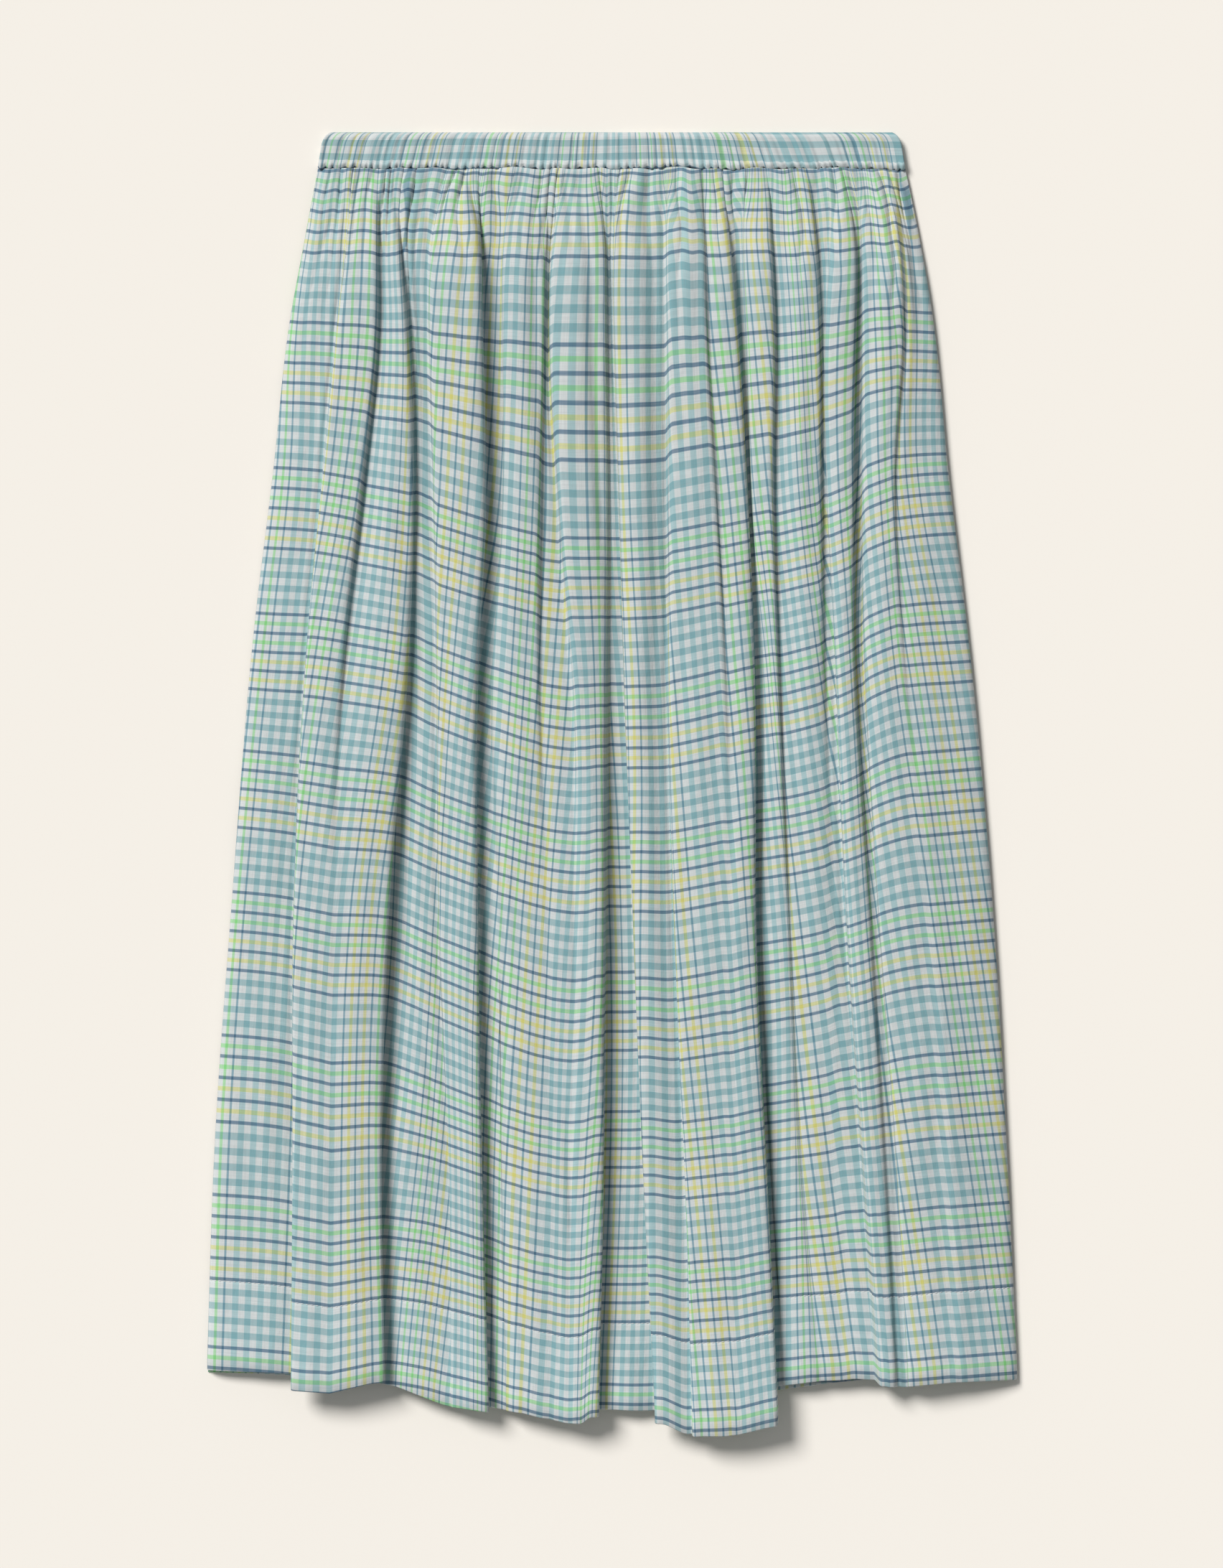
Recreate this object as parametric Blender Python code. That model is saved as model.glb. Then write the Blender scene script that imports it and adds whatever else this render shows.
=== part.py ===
"""A gathered midi skirt of checked cotton, laid flat on its back.

The waist points to +Y, the hem to -Y, and the front faces up (+Z). Two wide panels, front and back,
are gathered onto an elastic waistband, which is cut as a front and a back half. Each panel is a wall
of cloth: a sheet through rows of folds, with a face moved out and a face moved in by half the cloth.
Lengths are in millimetres in the tables and turned into metres where the meshes are made.
"""

from collections import namedtuple

import bpy
import numpy as np

MM = 0.001

# Driving sizes of the garment, in millimetres
LENGTH_BELOW_WAISTBAND = 820.0
LENGTH_LOST_AT_CENTRE = 25.0
WAISTBAND_HEIGHT = 24.5
WAISTBAND_CORNER_DROP = 9.0
WAISTBAND_CORNER_INSET = 6.0
HEM_DEPTH = 60.0
SEAM_GAP = 0.3
SEAM_Y = 419.3

# The cloth wall: a single layer, and the doubled layer of the turned-up hem, which starts a little above
CLOTH = 1.2
HEM_CLOTH = 1.5
HEM_MARGIN = 2.0

# The elastic casing of the waistband, with the floor of its front half and the height of its gathers
CASING = 3.0
CASING_FLOOR = 2.6
CASING_RIPPLE = 0.8
SEAM_RIDGE = 0.9
BAND_TAPER = 4.0
CORNER_FULLNESS = 0.96
GATHER_LEAN = 0.02

# Rows of the waistband: how far up, how full the gathers are, how much of the ruffled seam ridge
BAND_ROWS = (
    # up, swell, ridge
    (0.0, 0.5, 0.4),
    (2.4, 1.0, 1.0),
    (5.0, 0.8, 0.0),
    (15.0, 1.0, 0.0),
    (22.0, 0.7, 0.0),
    (WAISTBAND_HEIGHT, 0.0, 0.0),
)

# How the skirt sags in the middle: the checks sink by SAG at the stations below, most at the centre
SAG_CENTRE_X = -4.0
SAG_HALF_WIDTH = 105.0
SAG_STATIONS = (0.0, 60.0, 105.0, 204.0, 500.0, 820.0)
SAG = (0.0, 1.0, 14.0, 47.0, 58.0, 49.0)

# Stations down the skirt, measured from the waistband, at which the fold tables give x
STATIONS = (0.0, 46.0, 105.0, 203.0, 301.0, 496.0, 667.0, 814.0)
TUCK_STATIONS = (0.0, 200.0, 450.0, 820.0)
LEFT_SIDE = (-201, -209, -220, -231, -243, -259, -271, -276)
RIGHT_SIDE = (200, 209, 219, 229, 241, 259, 269, 276)

# Folds of the front, from left to right. x: where the fold's edge lies at each station.
# upper and lower: height of the cloth left and right of the edge, in the upper and the lower half.
# tuck: cloth hidden under the edge at TUCK_STATIONS; below zero, the edge is a slope that long.
# dip: how far the hem hangs lower, left and right of the edge.
FRONT_FOLDS = (
    # name, x at the stations, upper, lower, tuck, dip
    ("side", (-181, -181, -187, -197, -206, -216, -217, -218), (13, 15), (11, 21), (0, 1, 7, 15), (-1.5, 9)),
    ("second", (-163, -161, -161, -171, -182, -194, -196, -197), (17, 12), (22, 22), (0, 1, -4, -4), (9, 9)),
    ("third", (-153, -147, -140, -136, -139, -153, -158, -156), (17, 11), (22, 10), (0, 1, 8, 16), (-1.5, -0.5)),
    ("fourth", (-123, -124, -124, -121, -119, -117, -110, -109), (10, 20), (13, 17), (0, 2, 3, 1), (9, 9)),
    ("fifth", (-103, -92, -89, -87, -92, -92, -89, -85), (22, 10), (20, 10), (0, 3, 8, 14), (9, 6)),
    ("sixth", (-75, -75, -74, -74, -81, -72, -69, -65), (10, 15), (11, 17), (0, 2, -4, -8), (7, 7)),
    ("seventh", (-47, -46, -47, -50, -51, -45, -42, -42), (15, 11), (18, 19), (0, 0, -4, -4), (9, 10)),
    ("eighth", (-39, -41, -42, -35, -26, -23, -26, -26), (10, 17), (20, 21), (0, 2, -4, -4), (11, 11)),
    ("ninth", (-11, -6, -5, -4, -5, -6, -7, -10), (15, 10), (22, 10), (0, -3, -2, 6), (6, 1.5)),
    ("centre", (-3, 0, 2, 6, 9, 16, 23, 30), (9, 15), (10, 20), (0, 3, 8, 12), (3.5, 12)),
    ("eleventh", (36, 37, 38, 39, 39, 44, 51, 55), (10, 18), (17, 22), (0, 4, 3, 0), (21, 23)),
    ("twelfth", (59, 62, 64, 71, 76, 77, 79, 82), (18, 16), (23, 23), (0, 0, -4, -4), (25, 25)),
    ("thirteenth", (72, 79, 85, 92, 96, 97, 105, 112), (17, 9), (23, 10), (0, 2, 8, 18), (23, -3)),
    ("fourteenth", (89, 89, 92, 96, 103, 104, 112, 122), (9, 16), (11, 13), (0, 1, -2, -5), (-3, -3)),
    ("fifteenth", (108, 108, 110, 109, 112, 120, 127, 138), (16, 11), (13, 12), (0, 1, 0, -4), (-3, -3)),
    ("sixteenth", (137, 139, 141, 142, 143, 148, 152, 160), (14, 9), (12, 12), (0, 0, -4, -4), (-2, -2)),
    ("seventeenth", (154, 150, 146, 147, 152, 160, 172, 183), (9, 17), (12, 19), (0, 2, 2, 0), (0, 4.5)),
    ("eighteenth", (165, 166, 165, 164, 164, 174, 184, 192), (17, 9), (19, 15), (0, 1, -2, -2), (5.5, 5.5)),
    ("nineteenth", (172, 171, 171, 171, 172, 182, 194, 202), (9, 16), (14, 18), (0, 2, 3, 4), (6.5, 6)),
    ("last", (192, 196, 198, 192, 196, 214, 226, 234), (16, 14), (16, 16), (0, 0, -4, -4), (5, 5)),
)

# Folds of the back, pressed flat by the cloth above them
BACK_FOLDS = (
    ("far left", (-160, -166, -172, -178, -184, -196, -206, -210), (0, 5.6), (0, 5.6), (0, 1, 4, 7), (0, 0)),
    ("left dart", (-138, -141, -144, -150, -156, -164, -170, -172), (5.6, 0), (5.6, 0), (0, 1, 4, 7), (0, 0)),
    ("left", (-84, -86, -88, -92, -96, -104, -108, -112), (0, 5.6), (0, 5.6), (0, 1, 5, 8), (0, 0)),
    ("inner left", (-62, -62, -62, -64, -66, -68, -70, -72), (5.6, 0), (5.6, 0), (0, 1, 3, 5), (0, 0)),
    ("middle", (-12, -12, -12, -12, -12, -12, -12, -12), (0, 5.6), (0, 5.6), (0, 1, 4, 6), (0, 0)),
    ("inner right", (14, 14, 16, 18, 20, 24, 26, 28), (5.6, 0), (5.6, 0), (0, 1, 4, 7), (0, 0)),
    ("right", (70, 72, 74, 78, 82, 90, 96, 100), (0, 5.6), (0, 5.6), (0, 1, 4, 6), (0, 0)),
    ("right dart", (98, 99, 100, 104, 110, 124, 132, 138), (5.6, 0), (5.6, 0), (0, 1, 5, 8), (0, 0)),
    ("far right", (150, 154, 158, 164, 170, 180, 188, 194), (0, 5.6), (0, 5.6), (0, 1, 4, 6), (0, 0)),
    ("outer right", (172, 176, 180, 186, 192, 204, 212, 218), (5.6, 0), (5.6, 0), (0, 1, 4, 7), (0, 0)),
)

# Where the two halves of the fold tables meet, and where folds grow out of the gathers
UPPER_UNTIL = 203.0
LOWER_FROM = 520.0
GATHER_LENGTH = 110.0
FRONT_GATHER = 1.5
BACK_GATHER = 0.6

# The hem's dip comes on slowly: its share of the length, to this power
DIP_POWER = 1.5

# How much the cloth crowns between two folds, as a share of the distance, up to a limit
CROWN_SHARE = 0.05
CROWN_LIMIT = 2.2

# How far the cloth runs flat beside a fold's edge, at most this share of the way to the next edge,
# and how far in from a side it has risen
EDGE_RUN = 5.0
EDGE_SHARE = 0.36
SIDE_SHOULDER = 10.0

# Rows of cloth below the waistband, and columns across it
FRONT_ROWS = (0.0, 10, 24, 42, 68, 105, 155, 215, 290, 380, 475, 575, 672, 759, 820)
BACK_ROWS = (0.0, 14, 40, 90, 180, 300, 430, 570, 700, 759, 820)
BAND_COLUMNS = 84
FINE_SAMPLES = 1600
FINE_ROWS = 40

# Colours of the cloth, worn from the check's mean
CHECK_COLOUR = (0.52, 0.64, 0.62, 1.0)
BAND_COLOUR = (0.46, 0.6, 0.62, 1.0)
CLOTH_ROUGHNESS = 0.85

Fold = namedtuple("Fold", "name x upper lower tuck dip")
Panel = namedtuple("Panel", "folds rows columns gather seam side shoulder floor crown")


def remove_all_objects():
    for item in list(bpy.data.objects):
        bpy.data.objects.remove(item, do_unlink=True)


def smooth_step(value, start, end):
    share = np.clip((value - start) / (end - start), 0.0, 1.0)
    return share * share * (3.0 - 2.0 * share)


def along(value, stations, heights):
    """A smooth curve through the heights: cubic pieces whose slopes are those of their neighbours."""
    stations = np.asarray(stations, float)
    heights = np.asarray(heights, float)
    slopes = np.gradient(heights, stations)
    value = np.clip(value, stations[0], stations[-1])
    index = np.clip(np.searchsorted(stations, value) - 1, 0, len(stations) - 2)
    width = stations[index + 1] - stations[index]
    t = (value - stations[index]) / width
    start = heights[index] * (1 + 2 * t) * (1 - t) ** 2 + slopes[index] * width * t * (1 - t) ** 2
    end = heights[index + 1] * t * t * (3 - 2 * t) - slopes[index + 1] * width * t * t * (1 - t)
    return start + end


def edge_reach(tuck):
    """How far past a fold's edge its corner lies, so that the rounded cloth ends on the edge."""
    tuck = np.maximum(tuck, 0.0)
    total = EDGE_RUN + tuck
    return (np.sqrt(total * total + 12.0 * EDGE_RUN * tuck) - total) / 6.0


def fold_controls(panel, down):
    """Control points of each row from left to right: x, height and dip; five for a fold, one between two."""
    low = smooth_step(down, UPPER_UNTIL, LOWER_FROM)
    edges = [along(down, STATIONS, fold.x) for fold in panel.folds]
    bounds = [along(down, STATIONS, LEFT_SIDE)] + edges + [along(down, STATIONS, RIGHT_SIDE)]
    x, height, dip = [], [], []
    for number, fold in enumerate(panel.folds):
        edge = edges[number]
        high_left = panel.floor + fold.upper[0] + (fold.lower[0] - fold.upper[0]) * low
        high_right = panel.floor + fold.upper[1] + (fold.lower[1] - fold.upper[1]) * low
        hidden = along(down, TUCK_STATIONS, fold.tuck)
        toward = 1.0 if fold.upper[0] + fold.lower[0] > fold.upper[1] + fold.lower[1] else -1.0
        run_left = np.minimum(EDGE_RUN, EDGE_SHARE * (edge - bounds[number]))
        run_right = np.minimum(EDGE_RUN, EDGE_SHARE * (bounds[number + 2] - edge))
        corner = edge + toward * edge_reach(hidden)
        under = edge - toward * hidden
        near, far = (corner, under) if toward > 0 else (under, corner)
        if number:
            width = edge - run_left - x[-1]
            crown = panel.crown * np.minimum(width, CROWN_LIMIT / CROWN_SHARE)
            x.append(x[-1] + 0.5 * width)
            height.append(0.5 * (height[-1] + high_left) + crown)
            dip.append(0.5 * (dip[-1] + fold.dip[0]))
        x += [edge - run_left, near, 0.5 * (near + far), far, edge + run_right]
        height += [high_left, high_left, 0.5 * (high_left + high_right), high_right, high_right]
        between = 0.5 * sum(fold.dip)
        dip += [depth + 0.0 * edge for depth in (fold.dip[0], fold.dip[0], between, fold.dip[1], fold.dip[1])]
    return bounds[0], np.array(x), np.array(height), np.array(dip), bounds[-1]


def with_sides(panel, left, x, height, dip, right):
    """The control points of fold_controls with three more at each side, where the cloth turns down."""
    steps = np.array((0.0, 0.0, SIDE_SHOULDER))[:, None]
    heights = np.array((panel.side, 0.5 * (panel.side + panel.shoulder), panel.shoulder))[:, None]
    level = heights + 0.0 * left
    x = np.concatenate((left + steps, x, right - steps[::-1]))
    height = np.concatenate((level, height, level[::-1]))
    dip = np.concatenate((dip[:1] + 0.0 * steps, dip, dip[-1:] + 0.0 * steps))
    return x, height, dip


def spline_weights(count, parameter):
    """Weights of a quadratic spline with open ends: rows are the samples, columns the control points."""
    spans = count - 2
    knots = np.concatenate(([0.0, 0.0], np.arange(spans + 1), [spans, spans]))
    at = np.clip(parameter, 0.0, spans - 1e-9)[:, None]
    weights = ((at >= knots[None, :-1]) & (at < knots[None, 1:])).astype(float)
    for degree in (1, 2):
        pieces = weights.shape[1] - 1
        begin, end = knots[:pieces], knots[degree + 1:degree + 1 + pieces]
        rise_width = knots[degree:degree + pieces] - begin
        fall_width = end - knots[1:1 + pieces]
        rise = np.where(rise_width > 0, (at - begin) / np.where(rise_width > 0, rise_width, 1.0), 0.0)
        fall = np.where(fall_width > 0, (end - at) / np.where(fall_width > 0, fall_width, 1.0), 0.0)
        weights = rise * weights[:, :pieces] + fall * weights[:, 1:]
    return weights


def section(panel, down, parameter):
    """x, height and dip of each row at the spline's parameters, each rows by samples."""
    x, height, dip = with_sides(panel, *fold_controls(panel, down))
    weights = spline_weights(len(x), parameter)
    return (weights @ x).T, (weights @ height).T, (weights @ dip).T


def even_parameters(panel):
    """Spline parameters at which the columns share the cloth's width evenly, over the whole length."""
    spans = 6 * len(panel.folds) + 3
    parameter = np.linspace(0.0, spans, FINE_SAMPLES)
    x, height, dip = section(panel, np.linspace(0.0, LENGTH_BELOW_WAISTBAND, FINE_ROWS), parameter)
    steps = np.hypot(np.diff(x, axis=1), np.diff(height, axis=1)).mean(axis=0)
    share = np.concatenate(([0.0], np.cumsum(steps)))
    return np.interp(np.linspace(0.0, 1.0, panel.columns + 1), share / share[-1], parameter)


def panel_sheet(panel):
    """The sheet through the middle of the cloth: rows by columns of points.

    Each row is a spline through its folds. At the waistband the columns are spread evenly and zigzag
    as gathers, and the folds grow out of them. Then the checks sag and the hem dips.
    """
    down = np.asarray(panel.rows, float)
    x, height, dip = section(panel, down, even_parameters(panel))
    grown = smooth_step(down, 0.0, GATHER_LENGTH)[:, None]
    share = np.linspace(0.0, 1.0, panel.columns + 1)[None, :]
    left = along(down, STATIONS, LEFT_SIDE)[:, None]
    right = along(down, STATIONS, RIGHT_SIDE)[:, None]
    even = left + share * (right - left)
    x = even + (x - even) * np.sqrt(grown)
    height = panel.seam + (height - panel.seam) * grown
    height = height + panel.gather(np.arange(panel.columns + 1))[None, :] * (1.0 - grown)
    bump = np.exp(-0.5 * ((x - SAG_CENTRE_X) / SAG_HALF_WIDTH) ** 2)
    down = down[:, None] * (1.0 - bump * LENGTH_LOST_AT_CENTRE / LENGTH_BELOW_WAISTBAND)
    fallen = down + bump * along(down, SAG_STATIONS, SAG) + dip * (down / LENGTH_BELOW_WAISTBAND) ** DIP_POWER
    return np.stack((x, SEAM_Y - SEAM_GAP - fallen, height), axis=-1)


def sheet_normals(points):
    across = np.gradient(points, axis=1)
    down = np.gradient(points, axis=0)
    normal = np.cross(down, across)
    return normal / np.linalg.norm(normal, axis=-1, keepdims=True)


def wall(name, face, lining, colour):
    """A closed wall between two sheets of points, both rows by columns, in millimetres."""
    rows, columns = face.shape[:2]
    count = rows * columns
    vertices = np.concatenate((face.reshape(-1, 3), lining.reshape(-1, 3))) * MM
    grid = np.arange(count).reshape(rows, columns)
    a, b = grid[:-1, :-1].ravel(), grid[:-1, 1:].ravel()
    c, d = grid[1:, 1:].ravel(), grid[1:, :-1].ravel()
    quads = [np.stack((a, d, c, b), axis=1), np.stack((a, b, c, d), axis=1) + count]
    rim = np.concatenate((grid[0, :], grid[1:, -1], grid[-1, -2::-1], grid[-2:0:-1, 0]))
    following = np.roll(rim, -1)
    quads.append(np.stack((rim, following, following + count, rim + count), axis=1))
    mesh = bpy.data.meshes.new(name)
    mesh.from_pydata(vertices.tolist(), [], np.concatenate(quads).tolist())
    mesh.update()
    item = bpy.data.objects.new(name, mesh)
    bpy.context.scene.collection.objects.link(item)
    mesh.materials.append(cloth_material(name + "_cotton", colour))
    return item


def cloth_material(name, colour):
    material = bpy.data.materials.new(name)
    material.use_nodes = True
    shader = material.node_tree.nodes["Principled BSDF"]
    shader.inputs["Base Color"].default_value = colour
    shader.inputs["Roughness"].default_value = CLOTH_ROUGHNESS
    shader.inputs["Metallic"].default_value = 0.0
    return material


def cloth_depths(rows):
    """The inside of the wall lies deeper below the hem's stitching, where the cloth is turned up."""
    hemmed = np.asarray(rows)[:, None, None] > LENGTH_BELOW_WAISTBAND - HEM_DEPTH - HEM_MARGIN
    return np.where(hemmed, HEM_CLOTH - 0.5 * CLOTH, 0.5 * CLOTH)


def front_gather(column):
    """Three columns make one gather: a crest, a side and a valley, each a little unlike the last."""
    wave = np.choose(column % 3, (-1.0, 1.0, 0.1))
    return FRONT_GATHER * wave * (0.75 + 0.25 * np.sin(1.7 * column))


def back_gather(column):
    """Two columns make one gather of the back, which the weight above it presses low."""
    return BACK_GATHER * np.where(column % 2 == 0, -1.0, 1.0)


def band_gather(column):
    """Two columns make one gather of the waistband, from 0 in its valley to at most 1 on its crest."""
    return np.where(column % 2 == 0, 0.0, 1.0) * (0.7 + 0.3 * np.sin(2.3 * column))


FRONT = Panel(folds=[Fold(*row) for row in FRONT_FOLDS], rows=FRONT_ROWS, columns=150,
              gather=front_gather, seam=5.0, side=2.2, shoulder=9.0, floor=0.0, crown=CROWN_SHARE)
BACK = Panel(folds=[Fold(*row) for row in BACK_FOLDS], rows=BACK_ROWS, columns=96,
             gather=back_gather, seam=1.3, side=0.5 * CLOTH, shoulder=0.5 * CLOTH,
             floor=0.5 * CLOTH, crown=0.0)


def add_front_panel():
    points = panel_sheet(FRONT)
    normal = sheet_normals(points)
    face = points + normal * 0.5 * CLOTH
    lining = points - normal * cloth_depths(FRONT.rows)
    return wall("front_panel", face, lining, CHECK_COLOUR)


def add_back_panel():
    """The back's face lies on the floor and its folds stand up inside."""
    points = panel_sheet(BACK)
    normal = sheet_normals(points)
    face = points - normal * 0.5 * CLOTH
    lining = points + normal * cloth_depths(BACK.rows)
    return wall("back_panel", lining, face, CHECK_COLOUR)


def band_outline(rows):
    """Left and right ends of the waistband at each height, rounded off at its upper corners."""
    up = np.asarray(rows)
    corner = np.clip((up - (WAISTBAND_HEIGHT - WAISTBAND_CORNER_DROP)) / WAISTBAND_CORNER_DROP, 0.0, 1.0)
    inset = WAISTBAND_CORNER_INSET * (1.0 - np.sqrt(1.0 - CORNER_FULLNESS * corner ** 2))
    taper = BAND_TAPER * up / WAISTBAND_HEIGHT
    return LEFT_SIDE[0] + taper + inset, RIGHT_SIDE[0] - taper - inset


def band_points(rows, height):
    left, right = band_outline(rows)
    share = np.linspace(0.0, 1.0, BAND_COLUMNS + 1)[None, :]
    lean = GATHER_LEAN * np.sin(2.0 * np.pi * share) * np.asarray(rows)[:, None] / WAISTBAND_HEIGHT
    x = left[:, None] + (share + lean) * (right - left)[:, None]
    y = SEAM_Y + np.asarray(rows)[:, None] + 0.0 * x
    return np.stack((x, y, height + 0.0 * x), axis=-1)


def add_waistband(name, base, outward):
    """Half of the elastic casing: gathered outside, plain inside, with a ruffled ridge at its seam."""
    rows, swell, ridge = np.array(BAND_ROWS).T
    swell, ridge = swell[:, None], ridge[:, None]
    crest = band_gather(np.arange(BAND_COLUMNS + 1))
    rise = CASING_RIPPLE * crest * swell + SEAM_RIDGE * ridge * (0.6 + 0.4 * crest)
    if outward > 0:
        face = band_points(rows, base + CASING - CASING_RIPPLE * (1.0 - swell) + rise)
        lining = band_points(rows, base)
    else:
        face = band_points(rows, base + CASING - CASING_RIPPLE)
        lining = band_points(rows, base + CASING_RIPPLE * 0.5 * (1.0 - crest)[None, :] * swell)
    return wall(name, face[::-1], lining[::-1], BAND_COLOUR)


def main():
    remove_all_objects()
    add_front_panel()
    add_back_panel()
    add_waistband("waistband_front", CASING_FLOOR, 1.0)
    add_waistband("waistband_back", 0.0, -1.0)


main()
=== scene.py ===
"""The looks of a gathered midi skirt of checked cotton, laid flat on its back on a pale floor.

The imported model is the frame. Each panel of the skirt is a thin shell of cloth on the form of its solid,
with the folds, gathers and creases of the photograph, and its UV map is the flat cloth in metres, so
that the woven check runs through the folds as the real one does.
Lengths in the tables are millimetres. x is measured from the middle of the skirt, and "down" from the
seam of the waistband.
"""

from collections import namedtuple

import bpy
import numpy as np
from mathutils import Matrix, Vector


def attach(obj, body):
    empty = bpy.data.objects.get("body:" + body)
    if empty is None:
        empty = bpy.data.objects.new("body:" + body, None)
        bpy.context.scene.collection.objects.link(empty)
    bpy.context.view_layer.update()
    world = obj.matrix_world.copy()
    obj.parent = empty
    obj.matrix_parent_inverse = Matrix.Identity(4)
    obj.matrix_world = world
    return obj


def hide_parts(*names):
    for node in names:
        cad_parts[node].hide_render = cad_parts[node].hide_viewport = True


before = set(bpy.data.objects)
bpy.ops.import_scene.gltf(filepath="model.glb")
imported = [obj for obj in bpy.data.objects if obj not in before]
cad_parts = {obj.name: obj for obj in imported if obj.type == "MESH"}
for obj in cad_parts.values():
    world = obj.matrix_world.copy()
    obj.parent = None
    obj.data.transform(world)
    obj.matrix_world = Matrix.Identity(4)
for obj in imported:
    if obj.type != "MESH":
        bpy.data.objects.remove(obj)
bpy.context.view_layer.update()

bl_info = {
    "name": "Gathered Check Skirt",
    "version": (1, 0, 0),
    "blender": (4, 5, 0),
    "location": "3D View > Sidebar > Skirt",
    "description": "Builds a gathered midi skirt of checked cotton from its folds",
    "category": "Add Mesh",
}

MM = 0.001

# The garment's own sizes
LENGTH = 820.0
LENGTH_LOST_AT_CENTRE = 25.0
WAISTBAND_HEIGHT = 24.5
CORNER_DROP = 9.0
CORNER_INSET = 6.0
CORNER_FULLNESS = 0.96
BAND_TAPER = 4.0
HALF_HEM = 276.0
SEAM_Y = 419.3
SEAM_GAP = 0.3
SOLID_HALF = 0.6
CASING = 3.0
CASING_FLOOR = 2.6

# How the checks sink towards the middle of the skirt
SAG_CENTRE_X = -4.0
SAG_HALF_WIDTH = 105.0
SAG_STATIONS = (0.0, 60.0, 105.0, 204.0, 500.0, 820.0)
SAG = (0.0, 1.0, 14.0, 47.0, 58.0, 49.0)

# Where the tables of the folds give their values, down the skirt
STATIONS = (0.0, 46.0, 105.0, 203.0, 301.0, 496.0, 667.0, 814.0)
TUCK_STATIONS = (0.0, 200.0, 450.0, 820.0)
CLOTH_STATIONS = (50.0, 203.0, 301.0, 496.0, 814.0)
LEFT_SIDE = (-201, -209, -220, -231, -243, -259, -271, -276)
RIGHT_SIDE = (200, 209, 219, 229, 241, 259, 269, 276)

# Folds of the front from left to right: where the edge lies, the cloth's height left and right of it in
# the upper and in the lower half, the cloth tucked under it (below zero, a slope), and the hem's dip
FRONT_FOLDS = (
    ((-181, -181, -187, -197, -206, -216, -217, -218), (13, 15), (11, 21), (0, 1, 7, 15), (-1.5, 9)),
    ((-163, -161, -161, -171, -182, -194, -196, -197), (17, 12), (22, 22), (0, 1, -4, -4), (9, 9)),
    ((-153, -147, -140, -136, -139, -153, -158, -156), (17, 11), (22, 10), (0, 1, 8, 16), (-1.5, -0.5)),
    ((-123, -124, -124, -121, -119, -117, -110, -109), (10, 20), (13, 17), (0, 2, 3, 1), (9, 9)),
    ((-103, -92, -89, -87, -92, -92, -89, -85), (22, 10), (20, 10), (0, 3, 8, 14), (9, 6)),
    ((-75, -75, -74, -74, -81, -72, -69, -65), (10, 15), (11, 17), (0, 2, -4, -8), (7, 7)),
    ((-47, -46, -47, -50, -51, -45, -42, -42), (15, 11), (18, 19), (0, 0, -4, -4), (9, 10)),
    ((-39, -41, -42, -35, -26, -23, -26, -26), (10, 17), (20, 21), (0, 2, -4, -4), (11, 11)),
    ((-11, -6, -5, -4, -5, -6, -7, -10), (15, 10), (22, 10), (0, -3, -2, 6), (6, 1.5)),
    ((-3, 0, 2, 6, 9, 16, 23, 30), (9, 15), (10, 20), (0, 3, 8, 12), (3.5, 12)),
    ((36, 37, 38, 39, 39, 44, 51, 55), (10, 18), (17, 22), (0, 4, 3, 0), (21, 23)),
    ((59, 62, 64, 71, 76, 77, 79, 82), (18, 16), (23, 23), (0, 0, -4, -4), (25, 25)),
    ((72, 79, 85, 92, 96, 97, 105, 112), (17, 9), (23, 10), (0, 2, 8, 18), (23, -3)),
    ((89, 89, 92, 96, 103, 104, 112, 122), (9, 16), (11, 13), (0, 1, -2, -5), (-3, -3)),
    ((108, 108, 110, 109, 112, 120, 127, 138), (16, 11), (13, 12), (0, 1, 0, -4), (-3, -3)),
    ((137, 139, 141, 142, 143, 148, 152, 160), (14, 9), (12, 12), (0, 0, -4, -4), (-2, -2)),
    ((154, 150, 146, 147, 152, 160, 172, 183), (9, 17), (12, 19), (0, 2, 0.5, -4), (0, 4.5)),
    ((165, 166, 165, 164, 164, 174, 184, 192), (17, 9), (19, 15), (0, 1, -2, -2), (5.5, 5.5)),
    ((172, 171, 171, 171, 172, 182, 194, 202), (9, 16), (14, 18), (0, 2, 3, 4), (6.5, 6)),
    ((192, 196, 198, 192, 196, 214, 226, 234), (16, 14), (16, 16), (0, 0, -4, -4), (5, 5)),
)

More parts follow.
